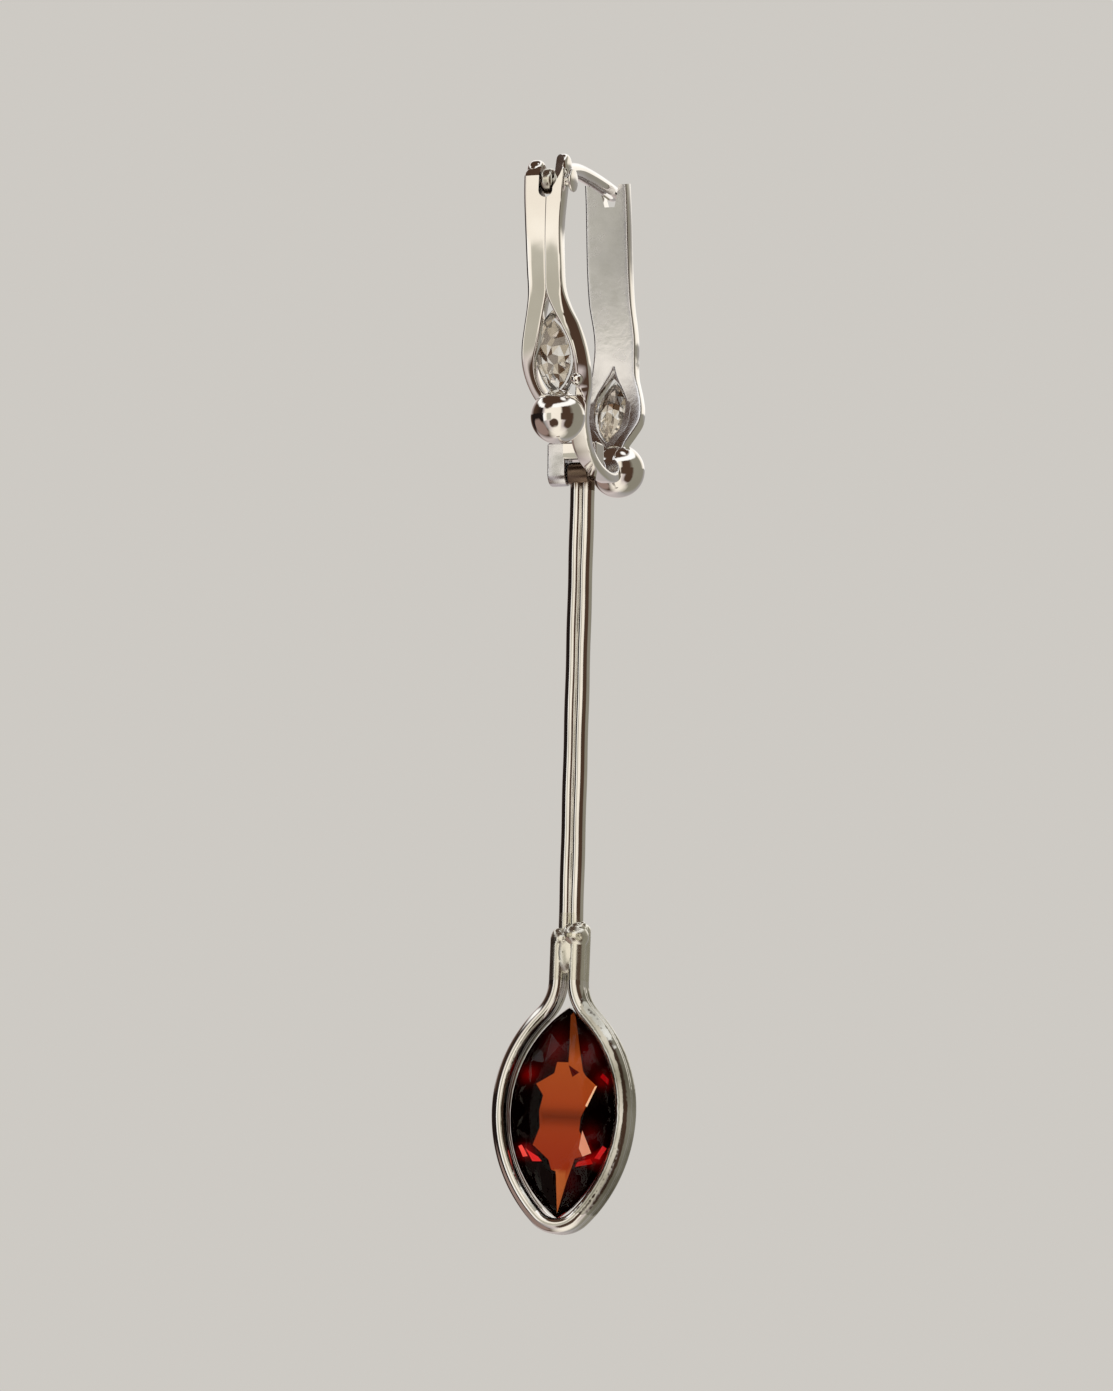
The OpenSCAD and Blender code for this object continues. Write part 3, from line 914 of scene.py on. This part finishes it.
def at_hoop_stone(stone):
    along = side_along(stone[0])
    turn = math.pi / 2 + math.atan2(along[1], along[0])
    return (Matrix.Translation(on_hoop(stone[0], stone[1], GIRDLE_LIFT))
            @ Matrix.Rotation(turn, 4, "X"))


def rim_share(x, z, length, width):
    """How far a point lies from the middle of a marquise, as a share of the way to its outline."""
    size = x * x + z * z
    if size < 1e-9:
        return 0
    radius = (length * length + width * width) / (4 * width)
    c = radius - width / 2
    return size / (math.sqrt(x * x * c * c + size * (radius * radius - c * c)) - abs(x) * c)


def between(rows, value):
    """Value from a short table of pairs, on straight lines between them."""
    for (a, first), (b, second) in zip(rows, rows[1:]):
        if value <= b:
            return first + (second - first) * (value - a) / (b - a)
    return rows[-1][1]


def to_linear(colour):
    return tuple((c / 255) ** 2.2 for c in colour)


def mosaic(outline, patches, spots):
    """Triangles that fill the outline, cut along the patches: points, faces, each face's patch."""
    points = []
    loops = []
    for patch in [outline] + patches:
        turned = sum(a[0] * b[1] - b[0] * a[1] for a, b in zip(patch, patch[1:] + patch[:1]))
        if turned < 0:
            patch = patch[::-1]
        loops.append(list(range(len(points), len(points) + len(patch))))
        points.extend(Vector(p) for p in patch)
    points.extend(Vector(p) for p in spots)
    made = geometry.delaunay_2d_cdt(points, [], loops, 1, 1e-5)
    return made[0], made[2], [max(owners) for owners in made[5]]


def inner_body(base, cells, front, back, colour, place):
    """A closed faceted body inside a stone. Its colours, painted light and shade such as glints, a
    lit window and dark flanks, show through the stone's clear skin.
    Its back facets take one colour for each sector, from the key that is worked out there."""
    flat, faces, owners = cells
    count = len(flat)
    points = [place @ Vector((p.x, front(p.x, p.y), p.y)) for p in flat]
    points += [place @ Vector((p.x, back(p.x, p.y), p.y)) for p in flat]
    edges = dict.fromkeys((f[i], f[(i + 1) % 3]) for f in faces for i in range(3))
    rim = [(a, b) for a, b in edges if (b, a) not in edges]
    solid = [tuple(f) for f in faces] + [tuple(i + count for i in reversed(f)) for f in faces]
    solid += [(b, a, a + count, b + count) for a, b in rim]
    body = add_object("inside", points, solid)
    layer = body.data.color_attributes.new("stone_colour", "FLOAT_COLOR", "CORNER")
    for face in body.data.polygons:
        owner = owners[face.index] if face.index < len(faces) else -1
        key = sum(face.vertices) % 977
        if owner == -1:
            total = sum((flat[v % count] for v in face.vertices), Vector((0, 0)))
            middle = total / len(face.vertices)
            key = round(math.atan2(middle.x, middle.y) * 7 / math.pi) + 20 * round(abs(middle.x))
        for loop in face.loop_indices:
            p = flat[body.data.loops[loop].vertex_index % count]
            layer.data[loop].color = (*to_linear(colour(owner, p.x, p.y, key)), 1)
    return join_inside(base, body)


def join_inside(shell, body):
    """One piece of the clear skin, in its first material, and the body in its second."""
    shell.data.color_attributes.new("stone_colour", "FLOAT_COLOR", "CORNER")
    for face in body.data.polygons:
        face.material_index = 1
    with editing(shell.data) as work:
        work.from_mesh(body.data)
    remove([body])
    return shell


def depth_by_rim(rows, length, width):
    """Depth of an inner body, from a table over the share of the way to its outline."""
    return lambda x, z: between(rows, rim_share(x, z, length, width))


def shrunk(outline, share):
    return [(x * share, z * share) for x, z in outline]


# Painted reflections in the clear stones: white, grey and brownish glints, one for each facet at
# random
CRYSTAL_SHADES = [(252, 250, 246), (230, 220, 204), (160, 150, 140), (200, 188, 170),
                  (104, 82, 64), (244, 240, 234)]


def crystal_colour(owner, x, z, key):
    return random.Random(key).choice(CRYSTAL_SHADES)


def hoop_stone(name, stone, seed):
    crown = [(-0.42, 0.55, 0.70), (-0.26, 0.80, 0.86), (-0.05, 1, 1)]
    pavilion = [(0.85, 0.12, 0.40), (0.50, 0.55, 0.68), (0.05, 1, 1)]
    place = at_hoop_stone(stone)
    shell = brilliant(name, CRYSTAL_L, CRYSTAL_W, 8, crown, pavilion, place)
    pick = random.Random(seed)
    outline = shrunk(marquise(CRYSTAL_L, CRYSTAL_W, 8), 0.93)
    spots = []
    for z in (-1.6, -1.05, -0.5, 0.05, 0.6, 1.1, 1.6):
        for x in (-0.55, -0.15, 0.25, 0.6):
            spot = (x + pick.uniform(-0.12, 0.12), z + pick.uniform(-0.14, 0.14))
            if rim_share(*spot, CRYSTAL_L, CRYSTAL_W) < 0.8:
                spots.append(spot)

    smooth = depth_by_rim([(0, -0.28), (0.55, -0.24), (0.94, 0.02)], CRYSTAL_L, CRYSTAL_W)
    back = depth_by_rim([(0, 0.70), (0.4, 0.62), (0.94, 0.04)], CRYSTAL_L, CRYSTAL_W)

    def front(x, z):
        return smooth(x, z) + pick.uniform(0, 0.16)

    cells = mosaic(outline, [], spots)
    return inner_body(shell, cells, front, back, crystal_colour, place)


# Painted light in the red stone's own plane: the window that light comes through, and small lit
# facets painted as glints
STAR = [
    (0.6, 3.1), (0.2, 6.1), (0.32, 6.3), (0.5, 6.0), (1.5, 2.6), (1.7, 2.3), (2.35, 1.75),
    (1.9, 0.4), (1.6, -0.3), (1.55, -1.1), (2.2, -2.45), (1.7, -2.7), (1.3, -2.85), (0.05, -6.25),
    (0.15, -3.7), (-0.15, -3.6), (-0.35, -3.0), (-1.45, -2.1), (-1.05, -1.0), (-1.15, 0.05),
    (-0.95, 1.0), (-1.45, 1.7), (-0.3, 2.4), (-0.15, 3.1),
]
# Columns: colour, outline
LIT_FACETS = [
    ((240, 78, 70), [(-2.65, -2.2), (-2.35, -2.1), (-1.85, -2.8), (-2.25, -2.85)]),
    ((214, 44, 44), [(-2.0, -2.35), (-1.1, -2.8), (-0.8, -3.1), (-1.5, -3.1)]),
    ((200, 36, 38), [(2.85, -1.95), (3.05, -2.1), (2.65, -2.8), (2.4, -2.75)]),
    ((170, 26, 22), [(1.45, -3.05), (2.2, -2.8), (2.3, -3.1), (1.3, -3.35)]),
    ((150, 16, 20), [(2.6, 2.55), (2.95, 2.2), (2.95, 1.85), (2.5, 2.3)]),
    ((240, 190, 150), [(2.4, 1.74), (1.95, 0.38), (1.85, 0.45), (2.28, 1.68)]),
    ((214, 146, 118), [(1.75, -1.1), (2.25, -2.45), (1.75, -2.7), (1.55, -2.2)]),
    ((70, 12, 8), [(0.6, 2.95), (1.3, 2.5), (0.9, 2.2)]),
]
# Painted red light in the dark flanks. Columns: colour, place, half width, half height.
GLOWS = [
    ((90, 8, 8), (-2.1, 2.3), 0.9, 0.6),
    ((80, 8, 8), (2.7, 2.1), 0.5, 0.6),
    ((120, 10, 14), (-2.0, -2.5), 0.8, 0.45),
    ((130, 14, 14), (2.3, -2.8), 0.9, 0.4),
    ((60, 5, 6), (2.2, -1.4), 0.6, 0.7),
    ((60, 6, 6), (-0.4, 3.9), 1.0, 1.3),
    ((60, 6, 6), (1.6, 3.6), 0.8, 1.2),
    ((40, 3, 5), (0.9, -4.2), 0.6, 1.0),
]
# The window's painted light at its top, at its bottom and in its lower spike, and the stone's
# darkest red, painted shade in the flanks
WINDOW_TOP = (156, 74, 34)
WINDOW_LOW = (140, 50, 26)
WINDOW_SPIKE = (168, 90, 48)
FLANK = [9, 1, 1]
# Reds for the back facets, a painted shade for each sector
GARNET_BACK_SHADES = [(70, 6, 8), (38, 3, 5), (108, 14, 14), (24, 2, 3), (84, 8, 10)]


def garnet_colour(owner, x, z, key):
    """Painted light and shade at a place of the inner body: a lit facet, the window, the back or a
    dark flank.
    """
    if owner > 1:
        return LIT_FACETS[owner - 2][0]
    if owner == 1:
        fall = progress(z, 3, -3)
        warm = [a + (b - a) * fall for a, b in zip(WINDOW_TOP, WINDOW_LOW)]
        shade = 1 - 0.3 * math.exp(-((z + 0.3) / 0.45) ** 2)
        if z > 3.4:
            shade = 1 - 0.35 * min(1, z - 3.4)
        if z < -3.6:
            warm = WINDOW_SPIKE
        return [c * shade for c in warm]
    if owner == -1:
        return random.Random(key).choice(GARNET_BACK_SHADES)
    total = FLANK
    for colour, (gx, gz), half_w, half_h in GLOWS:
        share = math.exp(-((x - gx) / half_w) ** 2 - ((z - gz) / half_h) ** 2)
        total = [t + c * share for t, c in zip(total, colour)]
    return [min(255, t) for t in total]


def make_garnet():
    crown = [(-1.35, 0.52, 0.62), (-0.80, 0.80, 0.84), (-0.10, 1, 1)]
    pavilion = [(2.10, 0.10, 0.36), (1.20, 0.62, 0.72), (0.10, 1, 1)]
    shell = brilliant("garnet_stone", GARNET_L, GARNET_W, 12, crown, pavilion, AT_STONE)
    outline = shrunk(marquise(GARNET_L, GARNET_W, 24), 0.985)
    spots = []
    for i in range(-20, 21):
        for j in range(-10, 11):
            spot = (j * 0.33 + 0.16 * (i % 2), i * 0.32)
            if rim_share(*spot, GARNET_L, GARNET_W) < 0.93:
                spots.append(spot)

    front_rows = [(0, -1.27), (0.54, -1.27), (0.80, -0.74), (0.99, -0.06)]
    back_rows = [(0, 1.95), (0.2, 1.95), (0.65, 1.1), (0.99, 0.06)]
    front = depth_by_rim(front_rows, GARNET_L, GARNET_W)
    back = depth_by_rim(back_rows, GARNET_L, GARNET_W)
    patches = [STAR] + [facet for colour, facet in LIT_FACETS]
    cells = mosaic(outline, patches, spots)
    return inner_body(shell, cells, front, back, garnet_colour, AT_STONE)


# ---------- Materials ----------

# Scales of the noise in the metal, for wear and tarnish, and how deep its relief is in metres
WEAR_SCALE = 900
TARNISH_SCALE = 260
RELIEF = 0.0001
# Columns: name, roughness and its spread, strength of the relief, darkest and lightest tint,
# and scale of the relief.
SILVERS = [
    ("polished_silver", 0.05, 0.02, 0.05, (0.86, 0.84, 0.81), (0.95, 0.94, 0.92), 420),
    ("brushed_silver", 0.24, 0.06, 0.12, (0.72, 0.73, 0.76), (0.86, 0.87, 0.90), 2600),
    ("wire_silver", 0.09, 0.03, 0.06, (0.80, 0.79, 0.76), (0.93, 0.92, 0.90), 900),
    ("solder_silver", 0.26, 0.06, 0.12, (0.66, 0.65, 0.58), (0.88, 0.87, 0.80), 1500),
    # Darker tint: painted shade on the drop's right arm and a painted reflection of the dark stone
    # on the frame's inner walls
    ("painted_shade_dim_silver", 0.14, 0.06, 0.5, (0.30, 0.29, 0.24), (0.70, 0.70, 0.66), 1300),
    # Dark brown: painted shade on the drop's knuckle and on the walls of the fork's slot
    ("painted_shade_dark_silver", 0.3, 0.08, 0.3, (0.10, 0.07, 0.05), (0.30, 0.22, 0.17), 1300),
]


def new_material(name):
    material = bpy.data.materials.new(name)
    material.use_nodes = True
    return material, material.node_tree, material.node_tree.nodes["Principled BSDF"]


def set_sockets(node, **values):
    """Sets a node's sockets by their names, with _ for a space."""
    for name, value in values.items():
        node.inputs[name.replace("_", " ")].default_value = value


def noise_node(tree, place, scale, detail=2):
    node = tree.nodes.new("ShaderNodeTexNoise")
    set_sockets(node, Scale=scale, Detail=detail)
    tree.links.new(place, node.inputs["Vector"])
    return node.outputs


def colour_ramp(tree, value, stops):
    """A colour from a value. The stops hold a position and a colour."""
    node = tree.nodes.new("ShaderNodeValToRGB")
    elements = node.color_ramp.elements
    while len(elements) < len(stops):
        elements.new(0.5)
    for element, (position, colour) in zip(elements, stops):
        element.position = position
        element.color = (*colour, 1)
    tree.links.new(value, node.inputs["Fac"])
    return node.outputs["Color"]


def silver(name, roughness, spread, bump, dark, light, grain):
    """Polished or brushed silver with faint wear, a little tarnish and hand-worked unevenness."""
    material, tree, shader = new_material(name)
    link = tree.links.new
    set_sockets(shader, Metallic=1)
    place = tree.nodes.new("ShaderNodeTexCoord").outputs["Object"]
    wear = noise_node(tree, place, WEAR_SCALE, 5)
    rough = tree.nodes.new("ShaderNodeMapRange")
    set_sockets(rough, From_Min=0.3, From_Max=0.7)
    set_sockets(rough, To_Min=roughness - spread, To_Max=roughness + spread)
    link(wear["Fac"], rough.inputs["Value"])
    link(rough.outputs["Result"], shader.inputs["Roughness"])
    tarnish = noise_node(tree, place, TARNISH_SCALE, 3)
    tint = colour_ramp(tree, tarnish["Fac"], [(0.35, dark), (0.65, light)])
    link(tint, shader.inputs["Base Color"])
    worked = noise_node(tree, place, grain)
    relief = tree.nodes.new("ShaderNodeBump")
    set_sockets(relief, Strength=bump, Distance=RELIEF)
    link(worked["Fac"], relief.inputs["Height"])
    link(relief.outputs["Normal"], shader.inputs["Normal"])
    return material


def stone_skin(name, colour, ior, gloss):
    """The clear outer facets of a stone."""
    material, tree, shader = new_material(name)
    set_sockets(shader, Roughness=0, IOR=ior, Specular_IOR_Level=gloss, Transmission_Weight=1)
    place = tree.nodes.new("ShaderNodeTexCoord").outputs["Object"]
    cloud = noise_node(tree, place, 500)
    stops = [(0, [0.96 * c for c in colour]), (1, colour)]
    tree.links.new(colour_ramp(tree, cloud["Fac"], stops), shader.inputs["Base Color"])
    return material


def stone_inside(name, metallic, roughness, lift):
    """The inner facets, in painted colours of light and shade. Their emission is a painted glow
    that stands in for the light that the stone throws back.
    """
    material, tree, shader = new_material(name)
    set_sockets(shader, Metallic=metallic, Roughness=roughness, Specular_IOR_Level=0)
    set_sockets(shader, Emission_Strength=lift)
    colour = tree.nodes.new("ShaderNodeVertexColor")
    colour.layer_name = "stone_colour"
    for socket in ("Base Color", "Emission Color"):
        tree.links.new(colour.outputs["Color"], shader.inputs[socket])
    return material


# ---------- Studio ----------

CAMERA_AZIMUTH = 19
CAMERA_ELEVATION = -6.4
CAMERA_ROLL = 0.5
CAMERA_DISTANCE = 600
AIM = Vector((0, 0, -33.5))
PIXELS_PER_MM = 16
IMAGE_HEIGHT = 1391
SENSOR = 36
# How far the camera slides right and up, so that the photograph's framing needs no lens shift
SLIDE_RIGHT = -1.21
SLIDE_UP = 0.925


def direction(azimuth, elevation):
    """Unit vector to a place round the piece. Azimuth 0 is the front, 90 the right."""
    a = math.radians(azimuth)
    e = math.radians(elevation)
    return Vector((math.sin(a) * math.cos(e), -math.cos(a) * math.cos(e), math.sin(e)))


def make_camera():
    azimuth = math.radians(CAMERA_AZIMUTH)
    roll = math.radians(CAMERA_ROLL)
    back = direction(CAMERA_AZIMUTH, CAMERA_ELEVATION)
    level = Vector((math.cos(azimuth), math.sin(azimuth), 0))
    lift = back.cross(level)
    right = level * math.cos(roll) + lift * math.sin(roll)
    up = lift * math.cos(roll) - level * math.sin(roll)
    data = bpy.data.cameras.new("camera")
    data.sensor_width = SENSOR
    data.lens = SENSOR * CAMERA_DISTANCE / (IMAGE_HEIGHT / PIXELS_PER_MM)
    data.clip_start = 0.01
    data.clip_end = 20
    camera = link_object("camera", data)
    place = (AIM + SLIDE_RIGHT * right + SLIDE_UP * up + CAMERA_DISTANCE * back) * MM
    turn = Matrix((right, up, back)).transposed().to_4x4()
    camera.matrix_world = Matrix.Translation(place) @ turn
    bpy.context.scene.camera = camera


CREAM = (1.0, 0.92, 0.80)
WHITE = (1.15, 1.13, 1.10)
SAND = (0.50, 0.47, 0.39)
ROSE = (0.60, 0.52, 0.50)
OLIVE = (0.27, 0.25, 0.20)
BROWN = (0.075, 0.042, 0.027)
UMBER = (0.30, 0.21, 0.18)
BLACK = (0.015, 0.010, 0.009)
GREY = (0.36, 0.34, 0.33)
OFF = (0.0, 0.0, 0.0)
ON = (1.0, 1.0, 1.0)
# The room at three heights, by share of a turn: from behind (0) over the left, the front (0.5)
# and the right
LEVEL = [
    (0.0, GREY), (0.06, ROSE), (0.12, BROWN), (0.18, BLACK), (0.368, BLACK), (0.38, WHITE),
    (0.415, CREAM), (0.425, SAND), (0.468, SAND), (0.478, CREAM), (0.582, CREAM),
    (0.594, BROWN), (0.735, BROWN), (0.76, OLIVE), (0.93, OLIVE), (0.975, GREY), (1.0, GREY),
]
ABOVE = [
    (0.0, WHITE), (0.12, ROSE), (0.2, BROWN), (0.35, BLACK), (0.375, ROSE), (0.40, CREAM),
    (0.585, CREAM), (0.61, BROWN), (0.70, BROWN), (0.75, OLIVE), (0.90, OLIVE),
    (0.935, CREAM), (1.0, WHITE),
]
BELOW = [
    (0.0, GREY), (0.12, ROSE), (0.2, BROWN), (0.35, BROWN), (0.38, GREY), (0.42, ROSE),
    (0.5, CREAM), (0.585, CREAM), (0.62, ROSE), (0.70, ROSE), (0.76, OLIVE), (0.93, OLIVE),
    (1.0, GREY),
]
# Heights where the rows change: 0.5 is level, 1 is straight up
TO_ABOVE = [(0.577, OFF), (0.584, ON)]
TO_BELOW = [(0.325, ON), (0.365, OFF)]
# Round patches of the room. Columns: azimuth, elevation, reach from the middle to the edge and
# softness of the edge, all in degrees, and colour.
PATCHES = [
    (-50, 85, 54, 2, WHITE),
    (-60, 82, 39, 3, BROWN),
    (75, 70, 8, 3, WHITE),
    (-30, 44, 17, 3, BROWN),
    (-84, -32, 27, 3, UMBER),
    (0, -34, 19, 2, BROWN),
    (72, -30, 19, 3, BROWN),
    (20, -80, 22, 14, CREAM),
]


def feed(tree, socket, value):
    """Links a socket to another node's output, or sets it."""
    if isinstance(value, bpy.types.NodeSocket):
        tree.links.new(value, socket)
    else:
        socket.default_value = value


def operate(tree, kind, operation, values):
    node = tree.nodes.new(kind)
    node.operation = operation
    for socket, value in zip(node.inputs, values):
        feed(tree, socket, value)
    return node


def math_node(tree, operation, *values):
    return operate(tree, "ShaderNodeMath", operation, values).outputs["Value"]


def vector_node(tree, operation, *values):
    return operate(tree, "ShaderNodeVectorMath", operation, values)


def mix(tree, factor, first, second):
    node = tree.nodes.new("ShaderNodeMix")
    node.data_type = "RGBA"
    tree.links.new(factor, node.inputs["Factor"])
    feed(tree, node.inputs["A"], first)
    feed(tree, node.inputs["B"], second)
    return node.outputs["Result"]


def wavy(tree, place, scale, amount):
    """Directions bent by smooth noise, so that nothing in the room has straight edges."""
    waves = noise_node(tree, place, scale, 1)
    centred = vector_node(tree, "SUBTRACT", waves["Color"], (0.5, 0.5, 0.5))
    small = vector_node(tree, "SCALE", centred.outputs["Vector"])
    set_sockets(small, Scale=amount)
    bent = vector_node(tree, "ADD", place, small.outputs["Vector"])
    return vector_node(tree, "NORMALIZE", bent.outputs["Vector"]).outputs["Vector"]


def patch_share(tree, bent, azimuth, elevation, reach, soft):
    """1 inside a round patch of the room, 0 outside it."""
    dot = vector_node(tree, "DOT_PRODUCT", bent, direction(azimuth, elevation))
    share = tree.nodes.new("ShaderNodeMapRange")
    set_sockets(share, From_Min=math.cos(math.radians(reach + soft)))
    set_sockets(share, From_Max=math.cos(math.radians(reach - soft)))
    tree.links.new(dot.outputs["Value"], share.inputs["Value"])
    return share.outputs["Result"]


def make_world():
    """Soft room light: bright windows in front and above, dark brown at the sides."""
    world = bpy.data.worlds.new("room")
    bpy.context.scene.world = world
    world.use_nodes = True
    tree = world.node_tree
    place = tree.nodes.new("ShaderNodeTexCoord").outputs["Generated"]
    bent = wavy(tree, place, 2.6, 0.18)
    split = tree.nodes.new("ShaderNodeSeparateXYZ")
    tree.links.new(wavy(tree, place, 3.0, 0.1), split.inputs["Vector"])
    across, depth, up = split.outputs
    turn = math_node(tree, "ARCTAN2", across, math_node(tree, "MULTIPLY", depth, -1.0))
    around = math_node(tree, "ADD", math_node(tree, "DIVIDE", turn, 2 * math.pi), 0.5)
    height = math_node(tree, "ADD", math_node(tree, "MULTIPLY", up, 0.5), 0.5)
    level, above, below = [colour_ramp(tree, around, row) for row in (LEVEL, ABOVE, BELOW)]
    colour = mix(tree, colour_ramp(tree, height, TO_ABOVE), level, above)
    colour = mix(tree, colour_ramp(tree, height, TO_BELOW), colour, below)
    for azimuth, elevation, reach, soft, inside in PATCHES:
        share = patch_share(tree, bent, azimuth, elevation, reach, soft)
        colour = mix(tree, share, colour, (*inside, 1))
    tree.links.new(colour, tree.nodes["Background"].inputs["Color"])


LAMP_SIZE = 0.4
LAMP_POWER = 0.4
LAMP_DISTANCE = 0.7


def make_lamp():
    """A weak soft light from the upper left. The room around the piece gives most of the light."""
    data = bpy.data.lights.new("soft_light", "AREA")
    data.shape = "DISK"
    data.size = LAMP_SIZE
    data.energy = LAMP_POWER
    lamp = link_object("soft_light", data)
    place = AIM * MM + direction(-35, 50) * LAMP_DISTANCE
    turn = (place - AIM * MM).to_track_quat("Z", "Y").to_matrix().to_4x4()
    lamp.matrix_world = Matrix.Translation(place) @ turn
    lamp.visible_glossy = False


WALL_COLOUR = (0.614, 0.590, 0.552, 1)


def backdrop_material():
    material, tree, shader = new_material("pale_wall")
    tree.nodes.remove(shader)
    glow = tree.nodes.new("ShaderNodeEmission")
    set_sockets(glow, Color=WALL_COLOUR)
    tree.links.new(glow.outputs["Emission"], tree.nodes["Material Output"].inputs["Surface"])
    return material


def make_stage():
    """A pale round wall and floor, seen by the camera and through the stones."""
    sides = 64
    # Columns: radius, height
    profile = [(0.0, -250), (1500, -250), (1800, -200), (1950, -50), (2000, 200), (2000, 1500),
               (1500, 2200), (0.0, 2500)]
    points = [(radius * math.cos(turn), radius * math.sin(turn), z)
              for radius, z in profile for turn in full_turn(sides)]
    faces = [face for i in range(len(profile) - 1)
             for face in skin(sides, i * sides, (i + 1) * sides)]
    wall = add_object("backdrop", points, faces)
    shade(wall, 80)
    wall.data.materials.append(backdrop_material())
    wall.visible_glossy = False
    wall.visible_diffuse = False
    wall.visible_shadow = False


# ---------- Putting it together ----------

def finish_piece(obj, body, node, materials):
    """Gives a piece its materials by its faces' marks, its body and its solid."""
    shares = [face.material_index for face in obj.data.polygons]
    obj.data.materials.clear()
    for material in materials:
        obj.data.materials.append(material)
    for face, share in zip(obj.data.polygons, shares):
        face.material_index = min(share, len(materials) - 1)
    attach(obj, body)
    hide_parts(node)


def build():
    # The fifth and sixth silvers are darkened by painted shade
    polished, satin, wire, solder_grey, painted_dim, dark = [silver(*row) for row in SILVERS]
    clear = stone_skin("clear_stone", (0.99, 0.99, 0.98), 1.5, 0.5)
    # The stones' inner bodies glow a little by emission: painted light
    facets = stone_inside("clear_facets", 0.9, 0.06, 0.12)
    red = stone_skin("red_stone", (1.0, 0.93, 0.91), 1.25, 0.1)
    depths = stone_inside("red_depths", 0, 0.3, 0.55)
    finish_piece(make_hoop(), "hoop", "hoop_band", [polished, satin, dark])
    finish_piece(make_hinge_pin(), "hoop", "hinge_pin", [polished])
    finish_piece(make_ear_wire(), "ear_wire", "ear_wire", [polished, solder_grey])
    finish_piece(make_drop_pin(), "hoop", "drop_pin", [polished])
    finish_piece(make_drop(), "drop", "drop_frame", [wire, solder_grey, painted_dim, dark])
    front = hoop_stone("front_stone", FRONT_STONE, 4)
    finish_piece(front, "hoop", "front_crystal", [clear, facets])
    back = hoop_stone("back_stone", BACK_STONE, 9)
    finish_piece(back, "hoop", "back_crystal", [clear, facets])
    finish_piece(make_garnet(), "drop", "garnet", [red, depths])


build()
make_camera()
make_world()
make_lamp()
make_stage()
bpy.context.scene.view_settings.view_transform = "Standard"
